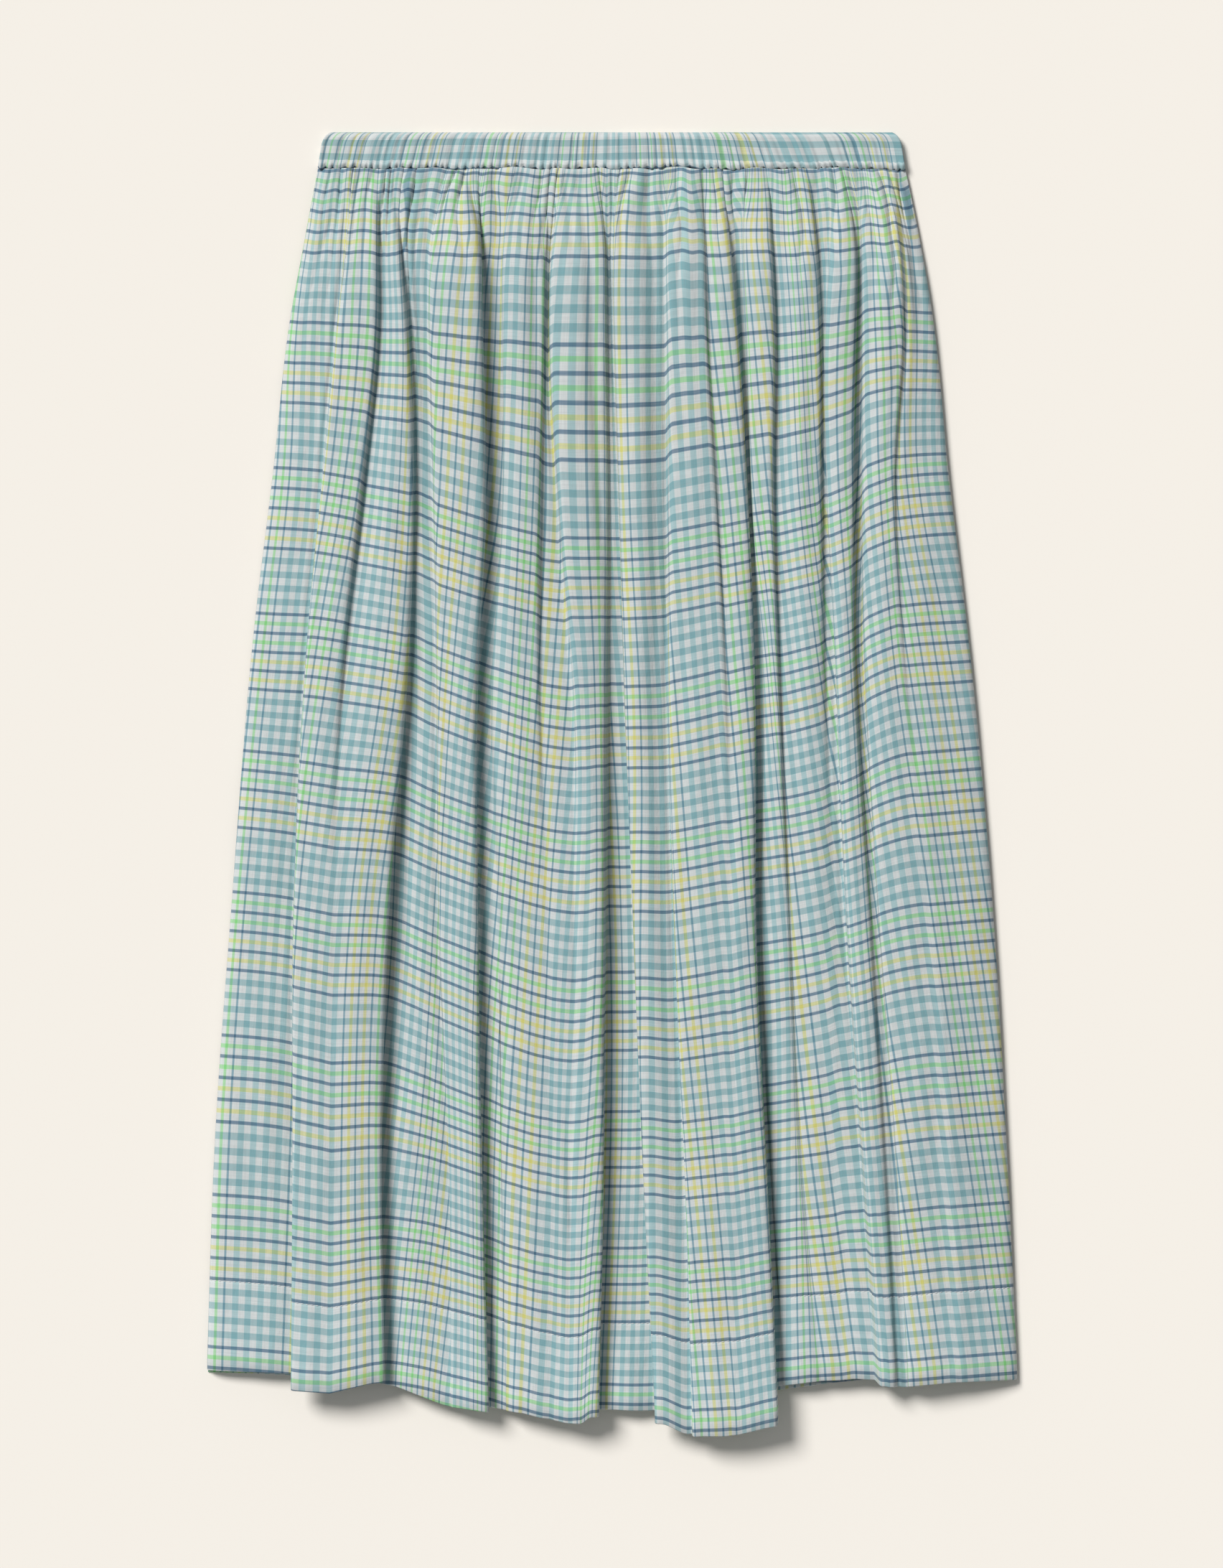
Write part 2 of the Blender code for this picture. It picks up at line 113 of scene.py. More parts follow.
# Where the warp threads of the flat cloth lie along each fold's edge, left of it and right of it.
# Left of the third fold the cloth was sewn on the other way round, so its count runs down to the right.
FRONT_CLOTH = (
    ((38, 61.5, 61, 49.7, 38.5), (25, 28.5, 19.7, 2.7, -10.8)),
    ((0, -2, -8, -25, -31.3), (-4, -4, -8, -25, -31.3)),
    ((-45, -59, -62, -75.5, -75), (-50, -27, -30, -50, -13)),
    ((-12, -10, -12, 9, 60), (4, 19, 30, 47, 60)),
    ((43, 60, 68, 93, 110), (103.5, 126, 141, 167, 190)),
    ((130, 141, 153, 193, 218.5), (158, 167, 165, 193, 218.5)),
    ((200, 198.5, 204, 225.7, 243.6), (205, 200, 204, 225.7, 243.6)),
    ((212, 214, 232, 258, 266.6), (246, 255, 251, 258, 266.6)),
    ((282, 283, 282, 278, 303), (320, 321, 314, 298.5, 303)),
    ((343, 341, 331, 331.5, 359.5), (398, 399, 395, 404.5, 418)),
    ((440, 444, 436, 436, 447), (515.5, 503.5, 494, 484, 462.5)),
    ((536, 541, 540, 521, 494.5), (554, 543, 540, 521, 494.5)),
    ((574.5, 567.5, 561.5, 549, 540.5), (592.5, 597.5, 597, 592, 616.5)),
    ((602.5, 607.5, 609, 606, 626.8), (654.5, 643.5, 629.5, 606, 626.8)),
    ((683.5, 659.5, 651.5, 629.5, 648.5), (705.5, 692.5, 683.5, 670.5, 648.5)),
    ((763.5, 749.5, 731.5, 701.5, 672), (768, 755, 735, 701.5, 672)),
    ((790, 757, 742, 712.5, 698.5), (806.5, 805.5, 800.5, 792.5, 792)),
    ((824, 826.5, 819.5, 817.5, 802.5), (826.5, 832.5, 840.5, 817.5, 802.5)),
    ((835.5, 842.5, 858.5, 828.5, 809.7), (895.5, 890.5, 880.5, 866.5, 833.5)),
    ((935.5, 918.5, 914.5, 901.5, 871.1), (944.5, 927.5, 914.5, 901.5, 871.1)),
)
LEFT_CLOTH = (94, 105, 105, 101, 101.5)
RIGHT_CLOTH = (954.5, 981.5, 970.5, 955.5, 919.5)
TURNED_FOLD = 2
TURNED_AT = 6.0 * TURNED_FOLD + 4.5

# Weft threads of the flat cloth at these places down the skirt
WEFT_STATIONS = (-8.5, 1.5, 104.0, 201.0, 299.0, 393.0, 489.5, 587.5, 695.0, 799.0, 903.0)
WEFT_AT = (-9.8, 0.0, 98.3, 196.6, 294.9, 393.2, 491.5, 589.8, 688.1, 786.4, 884.7)

# How much lower than that the weft threads have come, at these x, for places down the skirt
SHIFT_STATIONS = (0.0, 110.0, 225.0, 325.0, 423.0, 521.0, 619.0, 716.0, 770.0, 853.0)
WEFT_SHIFTS = (
    (-276.0, (0, 0, 0, 0, -1, -2, -2.5, -4.4, -4.4, -4.4)),
    (-230.0, (0, 0, 0, 0, -1, -2, -2.5, -4.4, -4.4, -4.4)),
    (-202.0, (0, 0, 2.4, 3.9, -0.8, -3.2, -4.7, -5.5, -4.4, -4.4)),
    (-152.0, (0, 0, 0.8, 6.2, 2, -0.6, -2.5, -1, 0.9, 0.9)),
    (-124.0, (0, 0, 0, 7.3, 3.4, 1, 0.5, 8.3, 10.8, 10.8)),
    (-53.0, (-3.5, -3, -7.3, 5.3, 2.7, -1.5, -4.9, 7.1, 13.2, 16)),
    (3.0, (-2.5, -1.5, -5.8, 8.3, 5.6, 1, 0.3, 10.8, 17.4, 20.4)),
    (67.0, (0, 0, -3.4, 7.3, 2.9, -0.5, -2, 9, 14.7, 14.7)),
    (145.0, (0, 1, -6, -1.7, -7.8, -10.4, -11.2, -1.5, 2.7, 4.6)),
    (194.0, (1, 10.6, 12.4, 10.3, 1.7, -3.9, -7, -2.4, -1.6, -0.2)),
    (233.0, (0, 6, 12, 8, 1, -5, -8, -4, -3.5, -3.5)),
    (276.0, (0, 6, 12, 8, 1, -5, -8, -4, -3.5, -3.5)),
)

# Folds of the back, pressed flat by the cloth above them: where the edge lies and the cloth tucked under
# it. The cloth is higher right of the first, left of the second, and so on
BACK_FOLDS = (
    ((-160, -166, -172, -178, -184, -196, -206, -210), (0, 1, 4, 7)),
    ((-138, -141, -144, -150, -156, -164, -170, -172), (0, 1, 4, 7)),
    ((-84, -86, -88, -92, -96, -104, -108, -112), (0, 1, 5, 8)),
    ((-62, -62, -62, -64, -66, -68, -70, -72), (0, 1, 3, 5)),
    ((-12, -12, -12, -12, -12, -12, -12, -12), (0, 1, 4, 6)),
    ((14, 14, 16, 18, 20, 24, 26, 28), (0, 1, 4, 7)),
    ((70, 72, 74, 78, 82, 90, 96, 100), (0, 1, 4, 6)),
    ((98, 99, 100, 104, 110, 124, 132, 138), (0, 1, 5, 8)),
    ((150, 154, 158, 164, 170, 180, 188, 194), (0, 1, 4, 6)),
    ((172, 176, 180, 186, 192, 204, 212, 218), (0, 1, 4, 7)),
)
BACK_HEIGHTS = 5 * ((0, 3.0), (3.0, 0))
BACK_CLOTH_WIDTH = 800.0

# Where the two halves of the fold tables meet, and how the folds begin at the seam and are rounded
UPPER_UNTIL = 203.0
LOWER_FROM = 520.0
GATHER_LENGTH = 85.0
THREADS_SETTLED = 45.0
FOLDS_AT_TOP = 0.6
DIP_POWER = 1.5
CROWN_SHARE = 0.05
CROWN_LIMIT = 2.2
EDGE_RUN = 5.0
EDGE_SHARE = 0.36
SIDE_SHOULDER = 10.0
SIDE_RISE = 9.0

# Creases of the front that are no folds: x and down along the crease, its width and depth
CREASES = (
    (((-191, 33), (-197.5, 57)), 2.2, 1.6),
    (((-182, 74), (-190, 114)), 2.2, 1.4),
    (((-143, 444), (-137, 546), (-124, 621), (-121, 646)), 2.6, 1.5),
    (((-31, 646), (-27, 730)), 3.0, 1.2),
    (((-21, 12), (-18, 43), (-15, 68), (-14, 105), (-11, 180), (-7, 255)), 3.0, 2.4),
    (((-32, 8), (-26, 62)), 2.4, 1.8),
    (((24, 0), (24, 49)), 2.2, 1.8),
    (((-62, 38), (-61, 60)), 2.0, 1.2),
    (((0, 150), (2, 230), (2, 301), (5, 496), (8, 667), (10, 800)), 9.0, 4.1),
    (((-142, 240), (-132, 301), (-140, 496), (-142, 640)), 8.8, 3.0),
    (((-83, 300), (-84, 420), (-82, 560), (-78, 760)), 6.0, 2.2),
    (((94, 260), (101, 330), (102, 496), (112, 667), (118, 790)), 7.5, 1.8),
    (((147, 180), (147, 260), (152, 420), (160, 560)), 5.0, 1.8),
    (((-134, 16), (-133, 27)), 3.0, 1.6),
    (((4, 14), (4, 24)), 3.0, 1.4),
)
CREASE_FADE = 9.0

# Depth of the trough along the low side of each fold's edge, at the stations. It is the sum of two bells,
# each with its place beside the edge, its width and its share
TROUGHS = (
    (1, 2, 3, 2.5, 2, 2, 1.5, 1),
    (1, 3, 3.5, 2.5, 1.5, 0, 0, 0),
    (1, 3, 5, 5.5, 5, 3.5, 2, 1),
    (0.5, 2.5, 3, 3, 3, 2, 1, 0.5),
    (1.5, 5, 6, 6, 5.5, 4, 3, 2),
    (0.5, 2, 3, 3, 2, 0, 0, 0),
    (0.5, 1, 2, 3, 1.5, 0.5, 0, 0),
    (1.5, 4.5, 5.5, 5, 2.5, 1.5, 1, 0.5),
    (0.5, 3, 3, 2.5, 2.5, 3, 2.5, 1.5),
    (1, 4, 4, 3.5, 3.5, 4, 3.5, 2),
    (2, 6, 6.5, 6, 4, 2, 1, 0.5),
    (1, 3, 3, 2, 1, 0, 0, 0),
    (1, 3.5, 5, 5.2, 4.2, 2.8, 2.4, 2),
    (1, 2.5, 3, 2, 1, 0, 0, 0),
    (1, 4, 4.5, 4.5, 4, 2, 1, 0.5),
    (0.5, 2.5, 3, 3, 2, 0, 0, 0),
    (0.5, 2, 4.5, 5, 4, 3, 1, 0.5),
    (0.5, 2.5, 4, 4, 3, 1, 0, 0),
    (0.5, 1.5, 4, 4, 3, 2, 1.5, 1),
    (0.5, 3, 3, 2, 1, 0, 0, 0),
)
TROUGH_BELLS = ((2.1, 2.1, 0.78), (8.0, 6.5, 0.5))

# The lowest that the front may sink: on the back, at the seam and from here below it, with the least room
BACK_TOP_AT_SEAM = 2.6
BACK_TOP = 5.4
BACK_TOP_FROM = 110.0
LEAST_ROOM = 0.05

# Columns across and rows down each piece, as counts and as distances between rows, the finer rows that
# share out the columns, and the columns over which threads are averaged at the seam
FRONT_COLUMNS = 440
BACK_COLUMNS = 300
FINE_UNTIL = 96.0
FINE_ROW = 3.2
COARSE_ROW = 11.0
HEM_ROWS = 5
BAND_COLUMNS = 420
BAND_ROWS = 20
FINE_SAMPLES = 2400
FINE_ROWS = 40
SPREAD = 15

# The gathers under the waistband: their number, how far down they reach and how high they stand, the
# small puckers of the cloth and of its weft, and the wandering seam
GATHERS = 43.0
GATHER_REACH = 62.0
GATHER_REACH_WAVES = ((26.0, 63.0, 0.8), (16.0, 151.0, 0.0))
GATHER_POWER = 1.6
GATHER_AT_SEAM = 0.45
GATHER_FULL_AT = 14.0
GATHER_HEIGHT = 0.66
GATHER_HEIGHT_WAVES = ((0.34, 88.0, 2.0),)
GATHER_WANDER = ((0.0028, 19.0, 44.0), (0.0018, 9.0, -71.0))
PUCKER_DROP = 0.7
PUCKER_RATE = 47.0 * 2.0 * np.pi / 3.0
PUCKER_WEFT = 1.3
PUCKER_WEFT_RATE = 29.0 * 2.0 * np.pi
SEAM_WAVES = ((0.45, 9.1, 0.0), (0.35, 4.3, 1.0), (0.3, 15.7, 2.0))
SWAY_REACH = 14.0
BACK_GATHER = 0.4

# The unevenness of the worn cloth: its share at the seam, and where it grows to its height
WRINKLES_AT_SEAM = 0.35
WRINKLES_GROW = (30.0, 120.0)
BACK_WRINKLE = 0.15

# The weft steps at each fold: over this reach, by this share of its slope and by up to this height more,
# a sine of the fold's number. The steps grow below the seam and are mostly lost further down
STEP_REACH = 3.0
STEP_SHARE = 0.5
STEP_HEIGHT = 1.5
STEP_TURN = 2.4
STEP_PHASE = 0.5
STEPS_GROW = (8.0, 70.0)
STEPS_FULL_UNTIL = 190.0
STEPS_LOST_FROM = 400.0
STEP_LOST = 0.8

# How much further the weft runs at the hem, and between which places down and across that begins
HEM_WEFT = 1.9
HEM_WEFT_DOWN = (770.0, 815.0)
HEM_WEFT_ACROSS = (-215.0, -185.0)

# The stitches of the hem: their weft thread, the half width of the dip along them and its share of the
# crumple, how much whiter the cloth is below them, and where they are looked for
HEM_LINE = 743.2
HEM_GROOVE = 1.5
HEM_GROOVE_SHARE = 0.45
HEM_WHITER = 0.045
STITCHES_BETWEEN = (700.0, 805.0)
STITCH_SEARCH_ROWS = 22
STITCH_RINGS = 5
STITCH_SIDES = 6
BACK_STITCH_SUNK = 0.2

WARP_REPEAT = 90.5
WEFT_REPEAT = 98.3
WARP_MARGIN = 5.0
WEFT_MARGIN = 4.0
WARP_LINES = (
    ("blue", 0.0, 11.5, 5, 1.6),
    ("green", 5.7, 11.4, 2, 2.0),
    ("yellow", 28.7, 11.4, 2, 2.5),
    ("pale", 54.3, 9.3, 4, 4.5),
)
WEFT_LINES = (
    ("navy", 0.0, 13.45, 5, 2.2),
    ("green", 6.7, 13.5, 2, 2.7),
    ("yellow", 33.6, 13.5, 2, 2.7),
    ("teal", 62.1, 9.3, 4, 4.4),
)

# How the cloth is coloured: the soft edge of a line, the dye and the lightness that uneven yarns give, as
# factor and start, their grains and those of the crumple per metre, and the height of the weave
LINE_EDGE = 0.22
DYE = (0.7, 0.6)
SLUB = (0.30, 0.735)
YARN_GRAINS = (1500.0, 40.0)
CRUMPLE_GRAINS = (90.0, 45.0)
WEAVE = 0.12

# The waistband: threads of its cloth across it, how far its gathers lean at the top, its weft bars
BAND_X = (-200.5, -122.9, -68.7, -16.9, 37.7, 93.9, 107.6, 159.9, 199.5)
BAND_CLOTH = (-185.8, -56.1, 34.4, 124.9, 215.4, 305.9, 325.0, 363.0, 420.0)
LEAN_X = (-200.0, -150.0, -90.0, -30.0, 30.0, 80.0, 125.0, 165.0, 200.0)
LEAN = (4.0, 4.5, 3.0, 1.5, -1.0, -4.0, -9.0, -7.0, -2.0)
BAND_WEFT_AT_TOP = -24.7
BAND_WEFT_LOST = 1.6
BAND_WEFT_ACROSS = (60.0, 150.0)
BAND_CROWDED = ((1.3, 187.0, 0.0), (0.9, 331.0, 1.0))

# Its form: how its gathers fade out below and above, its ruffled ridge, its rounded top, its moving seam
BAND_GATHERS = 54.0
BAND_GATHER = 0.62
BAND_SWELL = 0.3
BAND_FADE_BELOW = 2.0
BAND_FADE_ABOVE = 2.5
RUFFLES = 71.0
RIDGE_AT = 3.0
RIDGE_WIDTH = 1.7
RIDGE_HEIGHT = 0.9
RIDGE_RUFFLE = 1.1
RUFFLE_DROP = 1.2
SEAM_MOVES_BELOW = 8.0
BAND_SUNK = 0.75
BAND_ROUND = 1.4
BAND_ROUND_OVER = 3.5
BAND_LINING_IN = 0.15
BACK_BAND_LIFT = 0.05
BACK_BAND_GATHER = 0.28
BACK_BAND_SUNK = 0.8

# The stage, in metres: how far below the lowest cloth the floor lies and how far it reaches, the direction
# of the window and the place of the camera
FLOOR_DROP = 0.0003
FLOOR_REACH = 3.0
TOWARD_WINDOW = (-0.66, 0.68, 0.92)
CAMERA_PLACE = (-0.0005, -0.0009, 5.012)

Fold = namedtuple("Fold", "x upper lower tuck dip")
Panel = namedtuple("Panel", "folds columns seam side shoulder floor crown facing")

FRONT = Panel([Fold(*row) for row in FRONT_FOLDS], columns=FRONT_COLUMNS, seam=5.0, side=2.2, shoulder=9.0,
              floor=0.0, crown=CROWN_SHARE, facing=1.0)
BACK = Panel([Fold(x, level, level, tuck, (0, 0)) for (x, tuck), level in zip(BACK_FOLDS, BACK_HEIGHTS)],
             columns=BACK_COLUMNS, seam=1.3, side=0.6, shoulder=0.6, floor=0.6, crown=0.0, facing=-1.0)


def smooth_step(value, start, end):
    """0 up to start, 1 from end on, and three squared minus two cubed of the share between."""
    share = np.clip((value - start) / (end - start), 0.0, 1.0)
    return share * share * (3.0 - 2.0 * share)


def along(value, stations, heights):
    """A smooth curve through the heights: cubic pieces whose slopes are those of their neighbours."""
    stations = np.asarray(stations, float)
    heights = np.asarray(heights, float)
    slopes = np.gradient(heights, stations)
    value = np.clip(value, stations[0], stations[-1])
    index = np.clip(np.searchsorted(stations, value) - 1, 0, len(stations) - 2)
    width = stations[index + 1] - stations[index]
    t = (value - stations[index]) / width
    start = heights[index] * (1 + 2 * t) * (1 - t) ** 2 + slopes[index] * width * t * (1 - t) ** 2
    end = heights[index + 1] * t * t * (3 - 2 * t) - slopes[index + 1] * width * t * t * (1 - t)
    return start + end


def edge_reach(tuck):
    """How far past a fold's edge its corner lies: the root of a square, so the round ends on the edge."""
    tuck = np.maximum(tuck, 0.0)
    total = EDGE_RUN + tuck
    return (np.sqrt(total * total + 12.0 * EDGE_RUN * tuck) - total) / 6.0


def thread_pairs(panel, down):
    """Warp threads left and right of each fold, and at both sides: smooth curves through the front's table.

    At a fold of the back they are its share of the width, less a tuck and more a tuck.
    """
    if panel.facing > 0:
        pairs = [(LEFT_CLOTH, LEFT_CLOTH), *FRONT_CLOTH, (RIGHT_CLOTH, RIGHT_CLOTH)]
        return [[along(down, CLOTH_STATIONS, threads) for threads in pair] for pair in pairs]
    pairs = [(0.0 * down, 0.0 * down)]
    for fold in panel.folds:
        share = (along(down, STATIONS, fold.x) + HALF_HEM) / (2.0 * HALF_HEM)
        hidden = np.maximum(along(down, TUCK_STATIONS, fold.tuck), 0.0)
        pairs.append((share * BACK_CLOTH_WIDTH - hidden, share * BACK_CLOTH_WIDTH + hidden))
    return pairs + [(0.0 * down + BACK_CLOTH_WIDTH, 0.0 * down + BACK_CLOTH_WIDTH)]


def edge_lines(panel, down):
    """Where the left side, each fold's edge and the right side lie, down the skirt."""
    lines = [LEFT_SIDE] + [fold.x for fold in panel.folds] + [RIGHT_SIDE]
    return [along(down, STATIONS, line) for line in lines]


def toward_low(fold):
    """1 where the cloth is lower on the right of a fold's edge, and -1 where it is lower on the left."""
    return 1.0 if fold.upper[0] + fold.lower[0] > fold.upper[1] + fold.lower[1] else -1.0


def fold_controls(panel, down):
    """Control points of each row from left to right, as x, height, dip and warp thread.

    Each fold has five: beside its edge, at its corner, halfway under, under, and beside it again. Between
    two folds lies one more, halfway, raised by the crown. Threads between folds are shared out evenly.
    """
    low = smooth_step(down, UPPER_UNTIL, LOWER_FROM)
    bounds = edge_lines(panel, down)
    threads = thread_pairs(panel, down)
    x, height, dip, thread = [], [], [], []
    for number, fold in enumerate(panel.folds):
        before, edge, after = bounds[number:number + 3]
        high_left, high_right = [panel.floor + upper + (lower - upper) * low
                                 for upper, lower in zip(fold.upper, fold.lower)]
        hidden = along(down, TUCK_STATIONS, fold.tuck)
        toward = toward_low(fold)
        run_left = np.minimum(EDGE_RUN, EDGE_SHARE * (edge - before))
        run_right = np.minimum(EDGE_RUN, EDGE_SHARE * (after - edge))
        corner = edge + toward * edge_reach(hidden)
        under = edge - toward * hidden
        near, far = (corner, under) if toward > 0 else (under, corner)
        left, right = threads[number + 1]
        rate_left = (left - threads[number][1]) / (edge - before)
        rate_right = (threads[number + 2][0] - right) / (after - edge)
        if number:
            width = edge - run_left - x[-1]
            crown = panel.crown * np.minimum(width, CROWN_LIMIT / CROWN_SHARE)
            x.append(x[-1] + 0.5 * width)
            height.append(0.5 * (height[-1] + high_left) + crown)
            dip.append(0.5 * (dip[-1] + fold.dip[0]))
            thread.append(0.5 * (thread[-1] + left - rate_left * run_left))
        x += [edge - run_left, near, 0.5 * (near + far), far, edge + run_right]
        height += [high_left, high_left, 0.5 * (high_left + high_right), high_right, high_right]
        between = 0.5 * sum(fold.dip)
        depths = (fold.dip[0], fold.dip[0], between, fold.dip[1], fold.dip[1])
        dip += [depth + 0.0 * edge for depth in depths]
        above, below = left + rate_left * (near - edge), right + rate_right * (far - edge)
        beside = left - rate_left * run_left, right + rate_right * run_right
        thread += [beside[0], above, 0.5 * (above + below), below, beside[1]]
    ends = threads[0][0], threads[-1][0]
    return bounds, np.array(x), np.array(height), np.array(dip), np.array(thread), ends


def with_sides(panel, down):
    """The control points with three more at each side, where the cloth turns down, rising from the side."""
    bounds, x, height, dip, thread, ends = fold_controls(panel, down)
    steps = np.array((0.0, 0.0, SIDE_SHOULDER))[:, None]
    heights = np.array((panel.side, 0.5 * (panel.side + panel.shoulder), panel.shoulder))[:, None]
    level = heights + 0.0 * bounds[0]
    rate_left = (thread[0] - ends[0]) / (x[0] - bounds[0])
    rate_right = (ends[1] - thread[-1]) / (bounds[-1] - x[-1])
    thread_left = ends[0] + rate_left * steps
    thread_right = ends[1] - rate_right * steps[::-1]
    x = np.concatenate((bounds[0] + steps, x, bounds[-1] - steps[::-1]))
    height = np.concatenate((level, height, level[::-1]))
    dip = np.concatenate((dip[:1] + 0.0 * steps, dip, dip[-1:] + 0.0 * steps))
    return x, height, dip, np.concatenate((thread_left, thread, thread_right))


def spline_weights(count, parameter):
    """Weights of a quadratic spline with open ends: each is built from two of the degree below it."""
    spans = count - 2
    knots = np.concatenate(([0.0, 0.0], np.arange(spans + 1), [spans, spans]))
    at = np.clip(parameter, 0.0, spans - 1e-9)[:, None]
    weights = ((at >= knots[None, :-1]) & (at < knots[None, 1:])).astype(float)
    for degree in (1, 2):
        pieces = weights.shape[1] - 1
        begin, end = knots[:pieces], knots[degree + 1:degree + 1 + pieces]
        rise_width = knots[degree:degree + pieces] - begin
        fall_width = end - knots[1:1 + pieces]
        rise = np.where(rise_width > 0, (at - begin) / np.where(rise_width > 0, rise_width, 1.0), 0.0)
        fall = np.where(fall_width > 0, (end - at) / np.where(fall_width > 0, fall_width, 1.0), 0.0)
        weights = rise * weights[:, :pieces] + fall * weights[:, 1:]
    return weights


def section(panel, down, parameter):
    """x, height, dip and thread of each row at the spline's parameters: weights times control points."""
    controls = with_sides(panel, down)
    weights = spline_weights(len(controls[0]), parameter)
    return [(weights @ values).T for values in controls]


def even_parameters(panel):
    """Spline parameters at which the columns share the cloth's width evenly, over the whole length."""
    spans = 6 * len(panel.folds) + 3
    parameter = np.linspace(0.0, spans, FINE_SAMPLES)
    x, height = section(panel, np.linspace(0.0, LENGTH, FINE_ROWS), parameter)[:2]
    steps = np.hypot(np.diff(x, axis=1), np.diff(height, axis=1)).mean(axis=0)
    share = np.concatenate(([0.0], np.cumsum(steps)))
    return np.interp(np.linspace(0.0, 1.0, panel.columns + 1), share / share[-1], parameter)


def averaged(row, reach):
    """A row averaged by a raised cosine over reach columns either way, past its ends turned about them."""
    window = 1.0 + np.cos(np.pi * np.arange(-reach, reach + 1) / (reach + 1.0))
    before = 2.0 * row[0] - row[reach:0:-1]
    after = 2.0 * row[-1] - row[-2:-reach - 2:-1]
    return np.convolve(np.concatenate((before, row, after)), window / window.sum(), mode="valid")


def ripples(value, waves, start=0.0):
    """The start and a sum of sines: size times the sine of the phase and of the rate times the value."""
    return sum((size * np.sin(rate * value + phase) for size, rate, phase in waves), start)


def gather_phase(share, count, turn):
    """Which gather a place is in: its share of the width, bent by three slow sines, times their number."""
    waves = ((0.006, 41.0, turn), (0.0042, 97.0, 2.0 * turn), (0.0016, 231.0, 0.0))
    return count * ripples(share, waves, share)


def gather_wave(phase):
    """Round crests and sharp valleys from -1 to 1: a power below one of the size of a sine of the phase."""
    return 2.0 * np.abs(np.sin(np.pi * phase)) ** 0.6 - 1.0


def hidden_thread(phase):
    """Cloth hidden by the valleys, in gathers: two sines, so that threads crowd in the valleys."""
    turn = 2.0 * np.pi * phase
    return (0.75 * np.sin(turn) + 0.15 * np.sin(2.0 * turn)) / (2.0 * np.pi)


def seam_sway(x):
    """How far the gathered seam wanders downwards: three sines along the waist."""
    return sum(size * np.sin(x / length + phase) for size, length, phase in SEAM_WAVES)


def soft_hills(x, down):
    """Small unevenness of worn cloth: four long sines across and down, three of them times another."""
    value = 0.30 * np.sin(x / 9.0 + down / 71.0 + 0.4) * np.sin(down / 47.0 + 1.1)
    value = value + 0.26 * np.sin(x / 5.3 - down / 90.0 + 2.2) * np.sin(down / 61.0 + x / 80.0)
    value = value + 0.20 * np.sin(x / 3.4 + down / 140.0 + 4.0) * np.sin(down / 33.0 - x / 41.0 + 0.7)
    return value + 0.16 * np.sin(x / 15.0 - down / 23.0 + 1.9)


def step_fade(rows):
    """How much the weft steps at the folds: fully near the waist, and less where the folds grow softer."""
    return 1.0 - STEP_LOST * smooth_step(rows, STEPS_FULL_UNTIL, STEPS_LOST_FROM)


def strip_steps(edges, x, heights):
    """Steps from strip to strip between the edges: each rises by three squares less two cubes of the way."""
    steps = heights[0] + 0.0 * x
    for edge, before, after in zip(edges, heights[:-1], heights[1:]):
        steps = steps + (after - before) * smooth_step(x, edge - STEP_REACH, edge + STEP_REACH)
    return steps


def stepped(bounds, rows, x):
    """x drawn towards the middle of its strip between two folds, by a share that fades down the skirt."""
    middles = [0.5 * (left + right) for left, right in zip(bounds[:-1], bounds[1:])]
    return x + STEP_SHARE * step_fade(rows) * (strip_steps(bounds[1:-1], x, middles) - x)


def weft_shift(x, down):
    """How much lower the weft has come: curves down the skirt at some x, and curves across between them."""
    places = [place for place, row in WEFT_SHIFTS]
    curves = [along(down, SHIFT_STATIONS, row) for place, row in WEFT_SHIFTS]
    total = 0.0 * x
    for number, curve in enumerate(curves):
        only = np.zeros(len(places))
        only[number] = 1.0
        total = total + curve * along(x, places, only)
    return total


def trough_field(panel, x, rows):
    """Depth of the troughs beside the folds: a narrow and a wide bell, on the low side of each edge."""
    depth = 0.0 * x
    for fold, most in zip(panel.folds, TROUGHS):
        past = toward_low(fold) * (x - along(rows, STATIONS, fold.x))
        bells = [part * np.exp(-((past - place) / width) ** 2) for place, width, part in TROUGH_BELLS]
        depth = depth + along(rows, STATIONS, most) * sum(bells)
    return depth


def crease_field(x, down):
    """Depth of the loose creases: for each a bell across its line, faded in and out at its ends."""
    depth = 0.0 * x
    for line, width, most in CREASES:
        across, stations = np.array(line, float).T
        middle = np.interp(down, stations, across)
        start, end = stations[0], stations[-1]
        faded = smooth_step(down, start - CREASE_FADE, start + CREASE_FADE)
        faded = faded * (1.0 - smooth_step(down, end - CREASE_FADE, end + CREASE_FADE))
        depth = depth + most * faded * np.exp(-((x - middle) / width) ** 2)
    return depth


def gather_strength(rows, share):
    """How high the gathers stand: their height at the seam, growing, then dying away down the skirt.

    It is e to the minus of the way down over the gather's reach, to a power, and some gathers are lower.
    """
    reach = ripples(share, GATHER_REACH_WAVES, GATHER_REACH)
    strength = np.exp(-(rows / reach) ** GATHER_POWER)
    strength = strength * (GATHER_AT_SEAM + (1.0 - GATHER_AT_SEAM) * smooth_step(rows, 0.0, GATHER_FULL_AT))
    return strength * ripples(share, GATHER_HEIGHT_WAVES, GATHER_HEIGHT)


def weft_level(panel, bounds, rows, x, level, fallen):
    """Places of the front's weft: moved by the table, and stepped from strip to strip between the folds."""
    level = level + weft_shift(stepped(bounds, rows, x), fallen)
    uneven = STEP_HEIGHT * np.sin(STEP_TURN * np.arange(len(panel.folds) + 1) + STEP_PHASE)
    level = level + HEM_WEFT * smooth_step(rows, *HEM_WEFT_DOWN) * smooth_step(x, *HEM_WEFT_ACROSS)
    return level + strip_steps(bounds[1:-1], x, uneven) * step_fade(rows) * smooth_step(rows, *STEPS_GROW)


